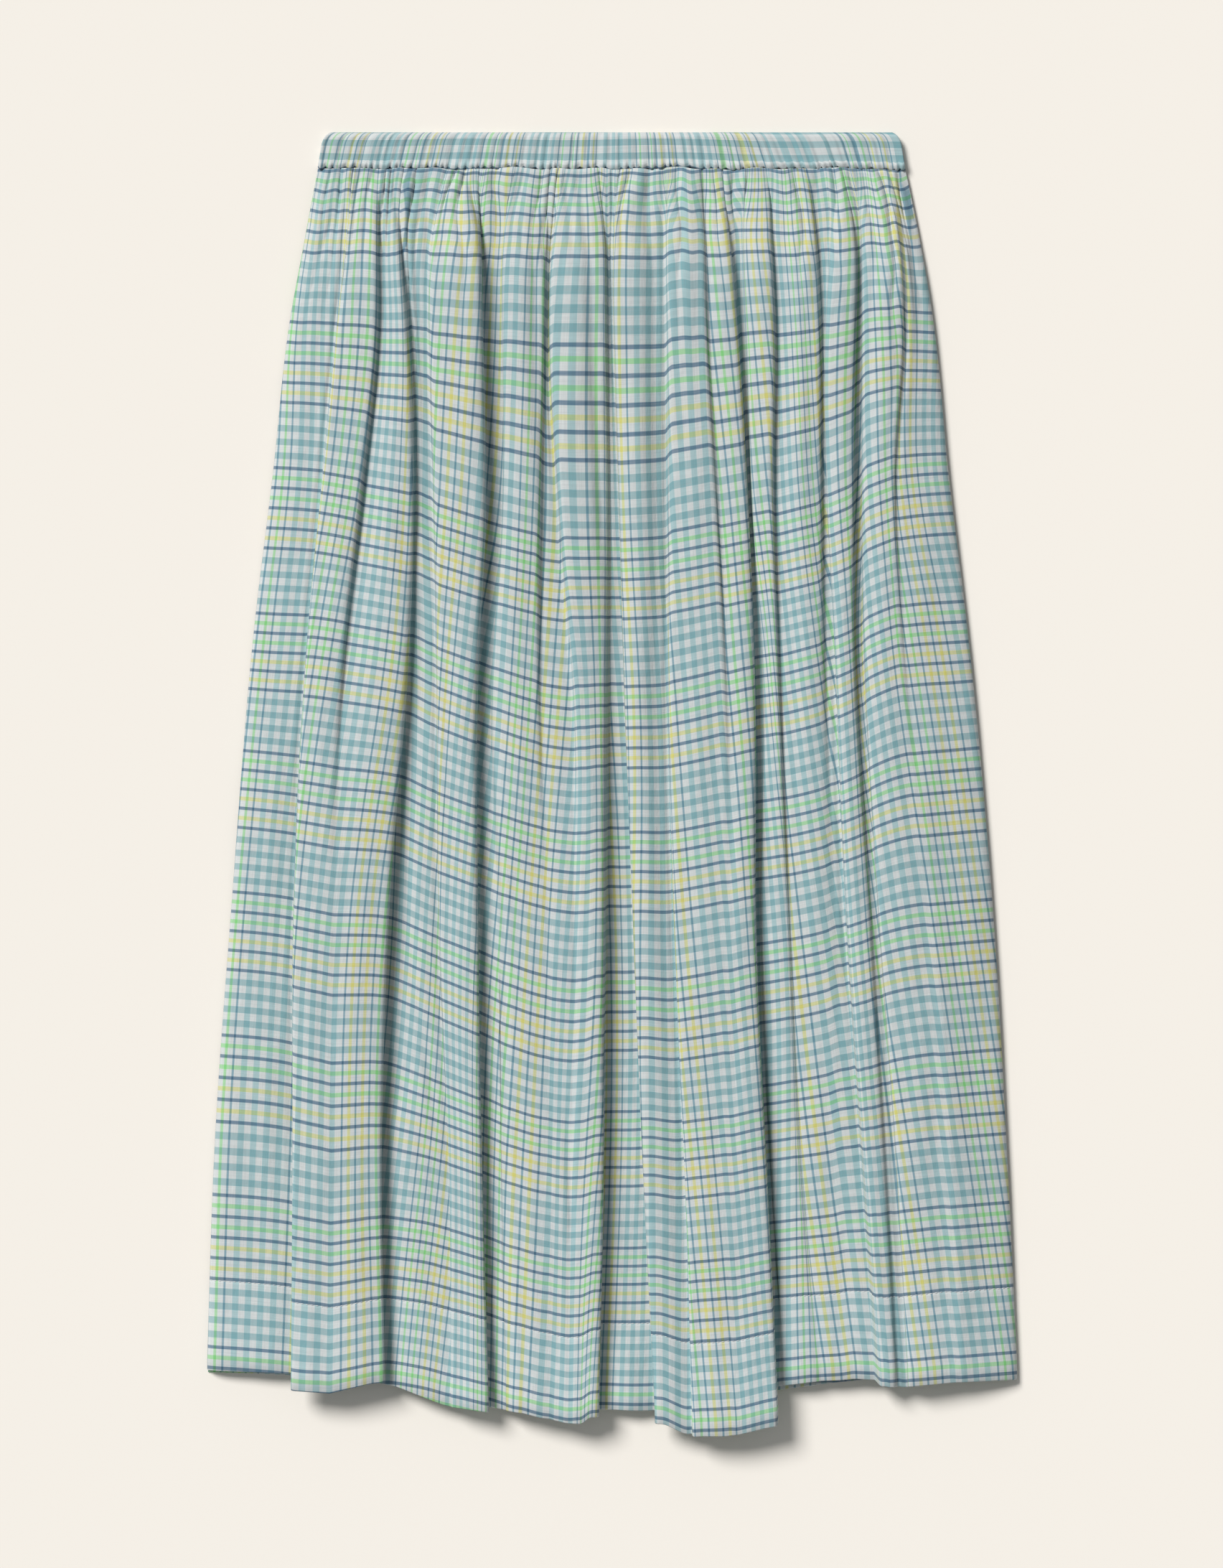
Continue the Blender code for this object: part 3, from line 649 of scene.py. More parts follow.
def panel_points(panel, down, parameter, share, sizes):
    """Points, flat cloth position and depth of a panel: rows by columns.

    Each row is a spline through its folds. At the waistband the columns are more even, and gathers are added
    to their height, dying away down the skirt. Then the checks sag, the hem dips, and creases sink in, by
    the room above the back times one minus e to the minus of their depth over that room.
    """
    front = panel.facing > 0
    rows = down[:, None]
    x, height, dip, thread = section(panel, down, parameter)
    if front:
        cut = np.searchsorted(share, np.interp(TURNED_AT, parameter, share))
        evenly = np.concatenate((averaged(thread[0, :cut], SPREAD), averaged(thread[0, cut:], SPREAD)))
        thread = evenly + (thread - evenly) * smooth_step(rows, 0.0, THREADS_SETTLED)
    grown = smooth_step(rows, 0.0, GATHER_LENGTH)
    bounds = edge_lines(panel, rows)
    left, right = bounds[0], bounds[-1]
    even = left + share * (right - left)
    x = even + (x - even) * (FOLDS_AT_TOP + (1.0 - FOLDS_AT_TOP) * np.sqrt(grown))
    beside = smooth_step(np.minimum(x - left, right - x), 0.0, SIDE_RISE)
    seam = panel.side + (panel.seam - panel.side) * beside
    height = seam + (height - seam) * grown
    wander = share
    for size, length, rate in GATHER_WANDER:
        wander = wander + size * np.sin(rows / length + rate * share)
    phase = gather_phase(wander, GATHERS, 1.0 + panel.facing)
    strength = gather_strength(rows, share)
    gather = sizes.gather_height / MM if front else BACK_GATHER
    height = height + gather * gather_wave(phase) * strength * beside
    bump = np.exp(-0.5 * ((x - SAG_CENTRE_X) / SAG_HALF_WIDTH) ** 2)
    level = rows * (1.0 - bump * LENGTH_LOST_AT_CENTRE / LENGTH)
    fallen = level + bump * along(rows, SAG_STATIONS, SAG)
    fallen = fallen + seam_sway(x) * np.exp(-rows / SWAY_REACH)
    fallen = fallen + dip * (rows / LENGTH) ** DIP_POWER
    fallen = fallen + PUCKER_DROP * strength * np.sin(PUCKER_RATE * share)
    settled = WRINKLES_AT_SEAM + (1.0 - WRINKLES_AT_SEAM) * smooth_step(rows, *WRINKLES_GROW)
    wrinkle = sizes.wrinkle / MM if front else BACK_WRINKLE
    height = height + wrinkle * settled * soft_hills(x, fallen)
    if front:
        thread = thread + (RIGHT_CLOTH[0] - LEFT_CLOTH[0]) / GATHERS * strength * hidden_thread(phase)
        deep = crease_field(x, fallen) + sizes.fold_depth * trough_field(panel, x, rows)
        back_top = BACK_TOP_AT_SEAM + (BACK_TOP - BACK_TOP_AT_SEAM) * smooth_step(rows, 0.0, BACK_TOP_FROM)
        room = np.maximum(height - back_top, LEAST_ROOM)
        height = height - room * (1.0 - np.exp(-deep / room))
        level = weft_level(panel, bounds, rows, x, level, fallen)
    else:
        height = np.maximum(height, panel.floor)
    weft = along(level, WEFT_STATIONS, WEFT_AT)
    weft = weft + PUCKER_WEFT * strength * np.sin(PUCKER_WEFT_RATE * share + 1.0)
    return np.stack((x, SEAM_Y - SEAM_GAP - fallen, height), axis=-1), thread, weft


def unit(vectors):
    """Each vector divided by its length."""
    return vectors / np.maximum(np.linalg.norm(vectors, axis=-1, keepdims=True), 1e-9)


def sheet_normals(points):
    """The cross product of the steps down the rows and across the columns, which points up."""
    across = np.gradient(points, axis=1)
    down = np.gradient(points, axis=0)
    return unit(np.cross(down, across))


def panel_shell(panel, sizes):
    """Face and lining of a panel with its hem turned up inside, and their places on the flat cloth.

    The face lies on the solid's face. The turned-up hem is the same rows again from the lowest up, further
    in by a gap, with one more row round the fold between them. Face and lining are half the cloth apart.
    """
    fine = np.arange(0.0, FINE_UNTIL, FINE_ROW)
    coarse = np.linspace(FINE_UNTIL, LENGTH, int((LENGTH - FINE_UNTIL) / COARSE_ROW) + 1)
    down = np.concatenate((fine, coarse))
    share = np.linspace(0.0, 1.0, panel.columns + 1)
    parameter = even_parameters(panel)
    points, thread, weft = panel_points(panel, down, parameter, share, sizes)
    outward = sheet_normals(points) * panel.facing
    half = 0.5 * sizes.cloth / MM
    gap = sizes.hem_gap / MM
    middle = points + outward * (SOLID_HALF - half)
    along_cloth = unit(np.gradient(points, axis=0))
    fold = middle[-1:] - 0.5 * gap * outward[-1:]
    turn = along_cloth[-1:]
    turned = slice(-1, -HEM_ROWS - 2, -1)
    back = middle[turned] - gap * outward[turned]
    outer = middle + half * outward, fold + turn * (0.5 * gap + half), back - half * outward[turned]
    inner = middle - half * outward, fold + turn * (0.5 * gap - half), back + half * outward[turned]
    face, lining = np.concatenate(outer), np.concatenate(inner)
    thread = np.concatenate((thread, thread[-1:], thread[turned]))
    weft = np.concatenate((weft, weft[-1:] + 0.5 * gap, 2.0 * weft[-1:] - weft[turned] + gap))
    return face, lining, thread, weft


def shell_mesh(name, face, lining, thread, weft, facing, material):
    """A closed shell between two grids of points, with the flat cloth as its UV map, in metres."""
    rows, columns = face.shape[:2]
    count = rows * columns
    vertices = np.concatenate((face.reshape(-1, 3), lining.reshape(-1, 3))) * MM
    grid = np.arange(count).reshape(rows, columns)
    a, b = grid[:-1, :-1].ravel(), grid[:-1, 1:].ravel()
    c, d = grid[1:, 1:].ravel(), grid[1:, :-1].ravel()
    quads = [np.stack((a, d, c, b), axis=1), np.stack((a, b, c, d), axis=1) + count]
    rim = np.concatenate((grid[0, :], grid[1:, -1], grid[-1, -2::-1], grid[-2:0:-1, 0]))
    following = np.roll(rim, -1)
    quads.append(np.stack((rim, following, following + count, rim + count), axis=1))
    quads = np.concatenate(quads)
    if facing < 0:
        quads = quads[:, ::-1]
    cloth = np.stack((thread.ravel(), weft.ravel()), axis=1) * MM
    return mesh_object(name, vertices, quads, np.concatenate((cloth, cloth)), material)


def mesh_object(name, vertices, faces, cloth, material):
    """A smooth mesh of four-sided faces, with a UV map from the flat cloth position of each vertex."""
    mesh = bpy.data.meshes.new(name)
    mesh.vertices.add(len(vertices))
    mesh.vertices.foreach_set("co", np.ascontiguousarray(vertices, dtype=np.float32).ravel())
    mesh.loops.add(faces.size)
    corners = np.ascontiguousarray(faces, dtype=np.int32).ravel()
    mesh.loops.foreach_set("vertex_index", corners)
    mesh.polygons.add(len(faces))
    mesh.polygons.foreach_set("loop_start", np.arange(0, faces.size, 4, dtype=np.int32))
    mesh.polygons.foreach_set("use_smooth", np.ones(len(faces), dtype=bool))
    mesh.update(calc_edges=True)
    layer = mesh.uv_layers.new(name="Cloth")
    layer.data.foreach_set("uv", np.ascontiguousarray(cloth[corners], dtype=np.float32).ravel())
    mesh.validate()
    mesh.materials.append(material)
    item = bpy.data.objects.new(name, mesh)
    bpy.context.scene.collection.objects.link(item)
    return item


def feed(tree, made, **inputs):
    """A node with its inputs, by name with _ for a space: links from sockets, or else constants."""
    for key, value in inputs.items():
        plug(tree, made.inputs[key.replace("_", " ")], value)
    return made


def node(tree, kind, **inputs):
    """A new node with those inputs."""
    return feed(tree, tree.nodes.new(kind), **inputs)


def plug(tree, socket, value):
    """A link into the socket from another socket, or else its constant."""
    if isinstance(value, bpy.types.NodeSocket):
        tree.links.new(value, socket)
    else:
        socket.default_value = value


def maths(tree, operation, *operands):
    """A Math node: each operand is a socket or a number."""
    made = tree.nodes.new("ShaderNodeMath")
    made.operation = operation
    for socket, operand in zip(made.inputs, operands):
        plug(tree, socket, operand)
    return made.outputs[0]


def comb(tree, coordinate, start, step, count, width, soft):
    """How much of a set of lines is here: 1 inside a line, 0 outside, with soft edges.

    The nearest line is the rounded distance over the step, kept within the count, and the line is where
    the distance to it is less than half the width.
    """
    local = maths(tree, "SUBTRACT", coordinate, start)
    nearest = maths(tree, "ROUND", maths(tree, "DIVIDE", local, step))
    nearest = maths(tree, "MINIMUM", maths(tree, "MAXIMUM", nearest, 0.0), count - 1.0)
    away = maths(tree, "ABSOLUTE", maths(tree, "SUBTRACT", local, maths(tree, "MULTIPLY", nearest, step)))
    inside = maths(tree, "DIVIDE", maths(tree, "SUBTRACT", 0.5 * width + soft, away), 2.0 * soft)
    return maths(tree, "MINIMUM", maths(tree, "MAXIMUM", inside, 0.0), 1.0)


def wrapped(tree, coordinate, repeat, margin):
    """The coordinate within one repeat, which begins a margin below zero."""
    moved = maths(tree, "ADD", coordinate, margin)
    return maths(tree, "SUBTRACT", maths(tree, "FLOORED_MODULO", moved, repeat), margin)


def stretched_noise(tree, cloth, across, down, detail):
    """Noise on the flat cloth, with that many grains per metre across it and down it."""
    scaled = node(tree, "ShaderNodeMapping", Vector=cloth, Scale=(across, down, 1.0)).outputs["Vector"]
    noise = node(tree, "ShaderNodeTexNoise", Vector=scaled, Scale=1.0, Detail=detail, Roughness=0.6)
    return noise.outputs["Fac"]


def object_noise(tree, scale, detail):
    """Noise in the object's own space, with that many grains per metre."""
    place = node(tree, "ShaderNodeTexCoord").outputs["Object"]
    return node(tree, "ShaderNodeTexNoise", Vector=place, Scale=scale, Detail=detail).outputs["Fac"]


def bumped(tree, height, strength, distance, **normal):
    """The normal with a bump of that height added to it."""
    bump = node(tree, "ShaderNodeBump", Height=height, Strength=strength, Distance=distance, **normal)
    return bump.outputs["Normal"]


def new_material(name):
    """A new material, its node tree and its shader."""
    material = bpy.data.materials.new(name)
    material.use_nodes = True
    return material, material.node_tree, material.node_tree.nodes["Principled BSDF"]


def tinted(tree, colour, factor, amount):
    """The colour multiplied by the factor where the amount is 1, as dyed threads darken white cloth."""
    mix = tree.nodes.new("ShaderNodeMix")
    mix.data_type = "RGBA"
    mix.blend_type = "MULTIPLY"
    for number, value in ((0, amount), (6, colour), (7, factor)):
        plug(tree, mix.inputs[number], value)
    return mix.outputs[2]


def check_material(name, sizes):
    """Checked cotton: sets of dyed warp and weft lines on white, uneven yarns, and a plain weave's bump.

    Below the stitches of the hem the cloth lies double and looks a little whiter, and it dips along them.
    """
    material, tree, shader = new_material(name)
    uv_map = node(tree, "ShaderNodeUVMap")
    uv_map.uv_map = "Cloth"
    cloth = uv_map.outputs["UV"]
    parts = node(tree, "ShaderNodeSeparateXYZ", Vector=cloth).outputs
    down = maths(tree, "MULTIPLY", parts["Y"], 1.0 / MM)
    warp = wrapped(tree, maths(tree, "MULTIPLY", parts["X"], 1.0 / MM), WARP_REPEAT, WARP_MARGIN)
    weft = wrapped(tree, down, WEFT_REPEAT, WEFT_MARGIN)
    warp_yarn = stretched_noise(tree, cloth, *YARN_GRAINS, 2.0)
    weft_yarn = stretched_noise(tree, cloth, *YARN_GRAINS[::-1], 2.0)
    yarns = maths(tree, "ADD", warp_yarn, weft_yarn)
    colour = (*sizes.white, 1.0)
    for lines, place, yarn in ((WARP_LINES, warp, warp_yarn), (WEFT_LINES, weft, weft_yarn)):
        strength = maths(tree, "MINIMUM", maths(tree, "MULTIPLY_ADD", yarn, *DYE), 1.0)
        for tone, start, step, count, width in lines:
            amount = comb(tree, place, start, step, count, width, LINE_EDGE)
            amount = maths(tree, "MULTIPLY", amount, strength)
            colour = tinted(tree, colour, (*getattr(sizes, tone), 1.0), amount)
    slub = maths(tree, "MULTIPLY_ADD", yarns, *SLUB)
    slub = maths(tree, "MULTIPLY_ADD", maths(tree, "GREATER_THAN", down, HEM_LINE), HEM_WHITER, slub)
    grey = node(tree, "ShaderNodeCombineColor", Red=slub, Green=slub, Blue=slub).outputs[0]
    waves = [yarn_wave(tree, parts[axis], sizes) for axis in "XY"]
    weave = maths(tree, "MULTIPLY", maths(tree, "ADD", *waves), WEAVE)
    fine = bumped(tree, maths(tree, "ADD", weave, yarns), 0.35, 0.0002)
    beside = maths(tree, "ABSOLUTE", maths(tree, "SUBTRACT", down, HEM_LINE))
    groove = maths(tree, "MINIMUM", maths(tree, "DIVIDE", beside, HEM_GROOVE), 1.0)
    crumple = stretched_noise(tree, cloth, *CRUMPLE_GRAINS, 3.0)
    crumple = maths(tree, "MULTIPLY_ADD", groove, HEM_GROOVE_SHARE, crumple)
    feed(tree, shader, Base_Color=tinted(tree, colour, grey, 1.0), Sheen_Weight=0.12, Sheen_Roughness=0.5,
         Roughness=maths(tree, "MULTIPLY_ADD", warp_yarn, 0.12, 0.78), Specular_IOR_Level=0.25,
         Normal=bumped(tree, crumple, 0.5, 0.0012, Normal=fine))
    return material


def yarn_wave(tree, coordinate, sizes):
    """The rise and fall of single yarns: a sine whose period is two yarns."""
    return maths(tree, "SINE", maths(tree, "MULTIPLY", coordinate, np.pi / sizes.yarn))


def thread_material(name, colour):
    """Matt sewing thread: one colour, varied a little by noise, with a twist as bump."""
    material, tree, shader = new_material(name)
    noise = object_noise(tree, 900.0, 2.0)
    ramp = node(tree, "ShaderNodeValToRGB", Fac=noise)
    ramp.color_ramp.elements[0].color = tuple(0.82 * part for part in colour) + (1.0,)
    ramp.color_ramp.elements[1].color = (*colour, 1.0)
    twist = bumped(tree, noise, 0.4, 0.0001)
    feed(tree, shader, Base_Color=ramp.outputs["Color"], Normal=twist, Roughness=0.7)
    return material


def floor_material(colour):
    """A plain pale floor, with a faint cloud of noise in its roughness."""
    material, tree, shader = new_material("floor_paint")
    rough = maths(tree, "MULTIPLY_ADD", object_noise(tree, 6.0, 3.0), 0.1, 0.85)
    feed(tree, shader, Base_Color=(*colour, 1.0), Specular_IOR_Level=0.1, Roughness=rough)
    return material


def colour_property(name, description, default):
    """A colour of the settings, in linear light."""
    return bpy.props.FloatVectorProperty(name=name, description=description, default=default, size=3,
                                         subtype="COLOR", min=0.0, max=1.0)


def length_property(name, description, default):
    """A length of the settings, in metres."""
    return bpy.props.FloatProperty(name=name, description=description, default=default, min=0.0,
                                   precision=5, unit="LENGTH", subtype="DISTANCE")


class SkirtSettings(bpy.types.PropertyGroup):
    """Sizes and colours of the skirt that can be changed without its folds."""

    cloth: length_property("Cloth", "Thickness of one layer of the cotton", 0.0005)
    hem_gap: length_property("Hem Gap", "Distance between the panel and its turned-up hem", 0.0008)
    gather_height: length_property("Gather Height", "Half the height of the gathers at the waist", 0.0025)
    fold_depth: bpy.props.FloatProperty(
        name="Fold Depth", description="How deep the troughs beside the folds are",
        default=1.0, min=0.0, max=1.5, subtype="FACTOR")
    wrinkle: length_property("Wrinkle", "Height of the small unevenness of the worn cloth", 0.0008)
    yarn: length_property("Yarn", "Distance from one yarn to the next", 0.00042)
    stitch: length_property("Stitch", "Length of one stitch", 0.0023)
    stitch_gap: length_property("Stitch Gap", "Distance between two stitches", 0.0011)
    thread: length_property("Thread", "Thickness of the sewing thread", 0.00045)
    white: colour_property("White", "Undyed cotton", (0.51, 0.54, 0.547))
    navy: colour_property("Navy", "What the navy weft lets through", (0.25, 0.355, 0.475))
    teal: colour_property("Teal", "What the teal weft lets through", (0.52, 0.71, 0.745))
    pale: colour_property("Pale Blue", "What the pale warp bars let through", (0.60, 0.81, 0.845))
    green: colour_property("Green", "What the green lines let through", (0.57, 0.95, 0.54))
    yellow: colour_property("Yellow", "What the yellow lines let through", (1.0, 0.95, 0.50))
    blue: colour_property("Blue", "What the thin blue warp lines let through", (0.36, 0.545, 0.645))
    floor: colour_property("Floor", "Colour of the floor", (0.855, 0.812, 0.757))
    thread_colour: colour_property("Sewing Thread", "Colour of the stitches", (0.72, 0.73, 0.74))


def settings():
    """The settings of the scene."""
    return bpy.context.scene.skirt_settings


def cotton():
    """The checked cotton, made once and shared by all pieces."""
    return bpy.data.materials.get("check_cotton_weave") or check_material("check_cotton_weave", settings())


def add_panel(name, panel):
    """One panel as a shell in the place of its solid, which is hidden."""
    sizes = settings()
    face, lining, thread, weft = panel_shell(panel, sizes)
    item = shell_mesh(name + "_cloth", face, lining, thread, weft, panel.facing, cotton())
    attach(item, "root")
    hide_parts(name)
    return item


def band_ends(up):
    """Left and right ends of the waistband, tapered upwards and rounded off by a quarter of an ellipse."""
    corner = np.clip((up - (WAISTBAND_HEIGHT - CORNER_DROP)) / CORNER_DROP, 0.0, 1.0)
    inset = CORNER_INSET * (1.0 - np.sqrt(1.0 - CORNER_FULLNESS * corner ** 2))
    inward = BAND_TAPER * up / WAISTBAND_HEIGHT + inset
    return LEFT_SIDE[0] + inward, RIGHT_SIDE[0] - inward


def band_grid(outward):
    """Face, lining and flat cloth of half the waistband: rows up it by columns across.

    The columns lean more towards the ends, by the table. The face rises over the elastic, bulges in small
    gathers with sharp valleys between them, and puffs out in a ruffled ridge just above the seam.
    """
    up = np.linspace(0.0, WAISTBAND_HEIGHT, BAND_ROWS + 1)[:, None]
    share = np.linspace(0.0, 1.0, BAND_COLUMNS + 1)
    left, right = band_ends(up)
    even = LEFT_SIDE[0] + share * (RIGHT_SIDE[0] - LEFT_SIDE[0])
    lean = along(even, LEAN_X, LEAN) / (right[0] - left[0])
    ends = np.sin(np.pi * share) ** 0.5
    moved = share + ends * lean * (up / WAISTBAND_HEIGHT - 0.5)
    x = left + moved * (right - left)
    fade = smooth_step(up, 0.0, BAND_FADE_BELOW)
    fade = fade * (1.0 - smooth_step(up, WAISTBAND_HEIGHT - BAND_FADE_ABOVE, WAISTBAND_HEIGHT))
    wave = gather_wave(gather_phase(share, BAND_GATHERS, 0.5))
    ruffle = gather_wave(gather_phase(share, RUFFLES, 2.3))
    broad = np.sin(23.0 * share + 1.0) * np.sin(up / 9.0)
    rise = (BAND_GATHER * wave + BAND_SWELL * broad) * fade
    ridge = np.exp(-((up - RIDGE_AT) / RIDGE_WIDTH) ** 2)
    rise = rise + ridge * (RIDGE_HEIGHT + RIDGE_RUFFLE * ruffle)
    over = smooth_step(up, WAISTBAND_HEIGHT - BAND_ROUND_OVER, WAISTBAND_HEIGHT)
    low = 1.0 - smooth_step(up, 0.0, SEAM_MOVES_BELOW)
    y = SEAM_Y + up - low * (RUFFLE_DROP * ruffle + seam_sway(x))
    if outward > 0:
        face = CASING_FLOOR + (CASING - BAND_SUNK - BAND_ROUND * over) + rise
        lining = CASING_FLOOR + BAND_LINING_IN
    else:
        face = BACK_BAND_LIFT + BACK_BAND_GATHER * (1.0 - wave) * fade
        lining = CASING - BACK_BAND_SUNK
    face, lining = [np.stack((x, y, height + 0.0 * x), axis=-1) for height in (face, lining)]
    thread = along(even, BAND_X, BAND_CLOTH) + ripples(share, BAND_CROWDED) + 0.0 * x
    weft = BAND_WEFT_AT_TOP + (WAISTBAND_HEIGHT - up) + 0.0 * x
    weft = weft - BAND_WEFT_LOST * smooth_step(x, *BAND_WEFT_ACROSS) + 0.5 * np.sin(x / 21.0)
    return face[::-1], lining[::-1], thread[::-1], weft[::-1]


def add_band(name, outward):
    """Half of the waistband as a closed shell round its elastic, in the place of its solid."""
    face, lining, thread, weft = band_grid(outward)
    item = shell_mesh(name + "_cloth", face, lining, thread, weft, outward, cotton())
    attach(item, "root")
    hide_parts(name)
    return item


def stitch_meshes(name, points, normals, length, thickness, material):
    """Stitches along a line: each a spindle of six sides, sunk a third of its thickness into the cloth.

    The line is measured along its length, and each stitch is a ring of radius one minus the fourth power
    of the distance from its middle, from end to end.
    """
    steps = np.linalg.norm(np.diff(points, axis=0), axis=1)
    run = np.concatenate(([0.0], np.cumsum(steps)))
    starts = np.arange(length[0], run[-1] - length[0], length[0] + length[1])
    fraction = np.linspace(0.0, 1.0, STITCH_RINGS)
    at = starts[:, None] + fraction[None, :] * length[0]
    centre = np.stack([np.interp(at, run, row) for row in points.T], axis=-1)
    up = unit(np.stack([np.interp(at, run, row) for row in normals.T], axis=-1))
    forward = unit(np.gradient(centre, axis=1))
    side = unit(np.cross(forward, up))
    from_middle = np.abs(2.0 * fraction - 1.0)
    radius = 0.5 * thickness * (1.0 - 0.75 * from_middle ** 4)
    lift = 0.5 * thickness * (0.6 - 0.9 * from_middle ** 3)
    angle = np.linspace(0.0, 2.0 * np.pi, STITCH_SIDES, endpoint=False)
    turned = angle[None, None, :, None]
    ring = side[:, :, None, :] * np.cos(turned) + up[:, :, None, :] * np.sin(turned)
    middle = (centre + up * lift[None, :, None])[:, :, None, :]
    vertices = (middle + ring * radius[None, :, None, None]).reshape(-1, 3) * MM
    one = np.arange(STITCH_RINGS * STITCH_SIDES).reshape(STITCH_RINGS, STITCH_SIDES)
    a, b = one[:-1], np.roll(one[:-1], -1, axis=1)
    c, d = np.roll(one[1:], -1, axis=1), one[1:]
    faces = np.stack((a, d, c, b), axis=-1).reshape(-1, 4)
    caps = np.array([[0, 1, 2, 3], [3, 4, 5, 0]])
    caps = np.concatenate((caps, (caps + one[-1, 0])[:, ::-1]))
    faces = np.concatenate((faces, caps))
    offsets = np.arange(len(starts))[:, None, None] * one.size
    faces = (faces[None] + offsets).reshape(-1, 4)
    cloth = np.zeros((len(vertices), 2))
    return mesh_object(name, vertices, faces, cloth, material)


def add_hem_stitches(name, panel):
    """A row of stitches on the outside of a panel, along one weft thread near the top of its hem.

    Down each column the thread's place is found on the straight line between the rows on either side.
    """
    sizes = settings()
    rows = np.linspace(*STITCHES_BETWEEN, STITCH_SEARCH_ROWS)
    share = np.linspace(0.0, 1.0, panel.columns + 1)
    points, _, weft = panel_points(panel, rows, even_parameters(panel), share, sizes)
    proud = SOLID_HALF if panel.facing > 0 else SOLID_HALF - BACK_STITCH_SUNK
    normals = sheet_normals(points) * panel.facing
    face = points + normals * proud
    after = np.clip(np.argmax(weft > HEM_LINE, axis=0), 1, len(rows) - 1)
    column = np.arange(len(share))
    before = weft[after - 1, column]
    part = ((HEM_LINE - before) / (weft[after, column] - before))[:, None]
    line = face[after - 1, column] * (1.0 - part) + face[after, column] * part
    length = (sizes.stitch / MM, sizes.stitch_gap / MM)
    twist = bpy.data.materials.get("sewing_thread") or thread_material("sewing_thread", sizes.thread_colour)
    item = stitch_meshes(name, line, normals[after, column], length, sizes.thread / MM, twist)
    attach(item, "root")
    return item


class SKIRT_OT_front_panel(bpy.types.Operator):
    """Add the front panel with its folds, creases, gathers and turned-up hem"""

    bl_idname = "skirt.front_panel"
    bl_label = "Front Panel"

    def execute(self, context):
        add_panel("front_panel", FRONT)
        return {"FINISHED"}


class SKIRT_OT_back_panel(bpy.types.Operator):
    """Add the back panel, pressed flat under the front"""

    bl_idname = "skirt.back_panel"
    bl_label = "Back Panel"

    def execute(self, context):
        add_panel("back_panel", BACK)
        return {"FINISHED"}


class SKIRT_OT_waistband(bpy.types.Operator):
    """Add both halves of the gathered elastic waistband"""

    bl_idname = "skirt.waistband"
    bl_label = "Waistband"

    def execute(self, context):
        add_band("waistband_front", 1.0)
        add_band("waistband_back", -1.0)
        return {"FINISHED"}


class SKIRT_OT_stitches(bpy.types.Operator):
    """Add the stitching of the hem"""

    bl_idname = "skirt.stitches"
    bl_label = "Hem Stitches"

    def execute(self, context):
        add_hem_stitches("front_hem_stitches", FRONT)
        add_hem_stitches("back_hem_stitches", BACK)
        return {"FINISHED"}


def add_floor(colour):
    """A plain square floor just under everything, of four by four faces."""
    across = np.linspace(-FLOOR_REACH, FLOOR_REACH, 5)
    x, y = np.meshgrid(across, across)
    vertices = np.stack((x.ravel(), y.ravel(), 0.0 * x.ravel() - FLOOR_DROP), axis=1)
    grid = np.arange(x.size).reshape(x.shape)
    corners = (grid[:-1, :-1], grid[:-1, 1:], grid[1:, 1:], grid[1:, :-1])
    faces = np.stack([corner.ravel() for corner in corners], axis=1)
    floor = mesh_object("floor", vertices, faces, vertices[:, :2], floor_material(colour))


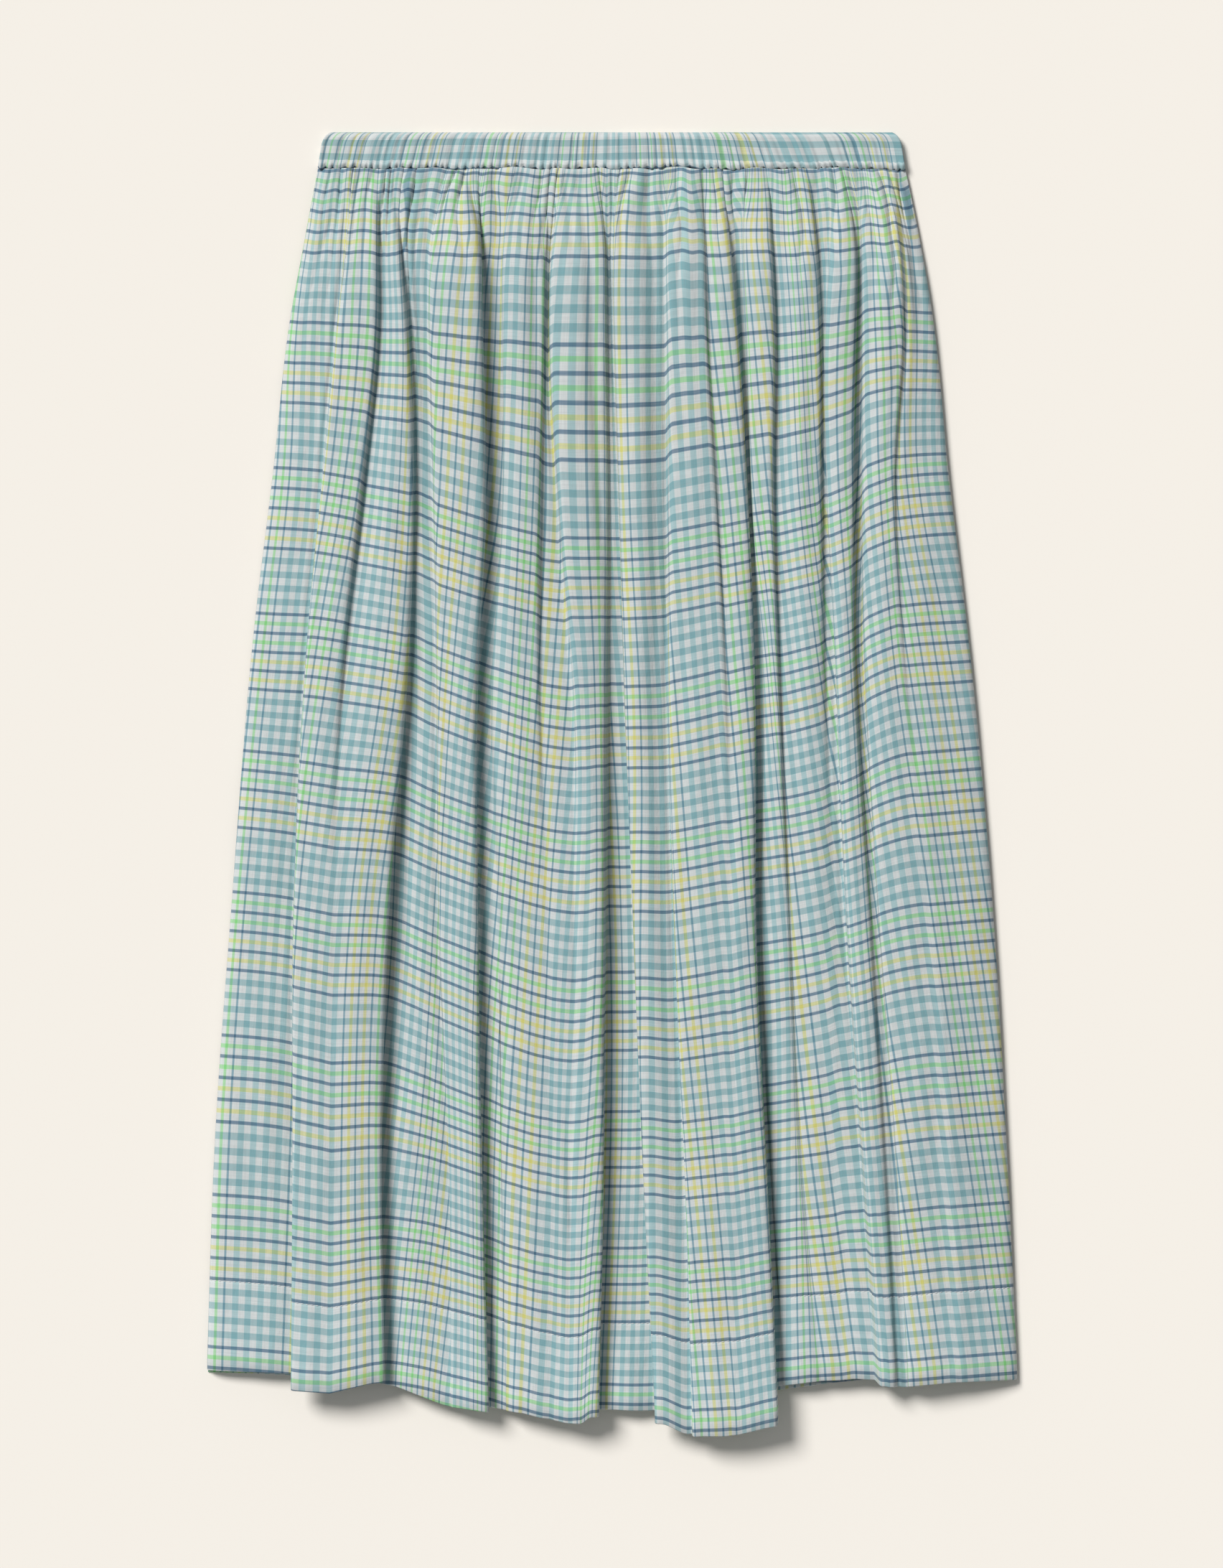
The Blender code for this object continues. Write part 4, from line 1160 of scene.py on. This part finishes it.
def add_sun():
    """A soft light from a window far away."""
    light = bpy.data.lights.new("window", "SUN")
    light.angle = np.radians(24.0)
    light.energy = 3.58
    light.color = (1.0, 0.985, 0.96)
    item = bpy.data.objects.new("window", light)
    item.rotation_euler = Vector(TOWARD_WINDOW).to_track_quat("Z", "Y").to_euler()
    item.location = TOWARD_WINDOW
    bpy.context.scene.collection.objects.link(item)


class SKIRT_OT_stage(bpy.types.Operator):
    """Add the floor, the soft light and the camera that looks straight down"""

    bl_idname = "skirt.stage"
    bl_label = "Stage"

    def execute(self, context):
        add_floor(settings().floor)
        add_sun()
        world = context.scene.world or bpy.data.worlds.new("room")
        context.scene.world = world
        world.use_nodes = True
        sky = world.node_tree.nodes["Background"]
        feed(world.node_tree, sky, Color=(0.95, 0.99, 1.0, 1.0), Strength=0.29)
        view = bpy.data.cameras.new("view")
        view.sensor_width = 36.0
        view.lens = 168.5
        camera = bpy.data.objects.new("view", view)
        camera.location = CAMERA_PLACE
        context.scene.collection.objects.link(camera)
        context.scene.camera = camera
        context.scene.view_settings.view_transform = "Standard"
        return {"FINISHED"}


class SKIRT_PT_panel(bpy.types.Panel):
    """Buttons for the pieces and the settings, in the sidebar"""

    bl_label = "Gathered Skirt"
    bl_idname = "SKIRT_PT_panel"
    bl_space_type = "VIEW_3D"
    bl_region_type = "UI"
    bl_category = "Skirt"

    def draw(self, context):
        layout = self.layout
        for operator in OPERATORS:
            layout.operator(operator.bl_idname)
        for name in SkirtSettings.__annotations__:
            layout.prop(context.scene.skirt_settings, name)


OPERATORS = (
    SKIRT_OT_back_panel,
    SKIRT_OT_front_panel,
    SKIRT_OT_waistband,
    SKIRT_OT_stitches,
    SKIRT_OT_stage,
)
CLASSES = (SkirtSettings, *OPERATORS, SKIRT_PT_panel)


def register():
    """Tell Blender about the classes and the settings."""
    for item in CLASSES:
        bpy.utils.register_class(item)
    bpy.types.Scene.skirt_settings = bpy.props.PointerProperty(type=SkirtSettings)


def unregister():
    """Take the settings and the classes away again."""
    del bpy.types.Scene.skirt_settings
    for item in reversed(CLASSES):
        bpy.utils.unregister_class(item)


def main():
    """Build every piece and the stage."""
    register()
    bpy.ops.skirt.back_panel()
    bpy.ops.skirt.front_panel()
    bpy.ops.skirt.waistband()
    bpy.ops.skirt.stitches()
    bpy.ops.skirt.stage()


if __name__ == "__main__":
    main()
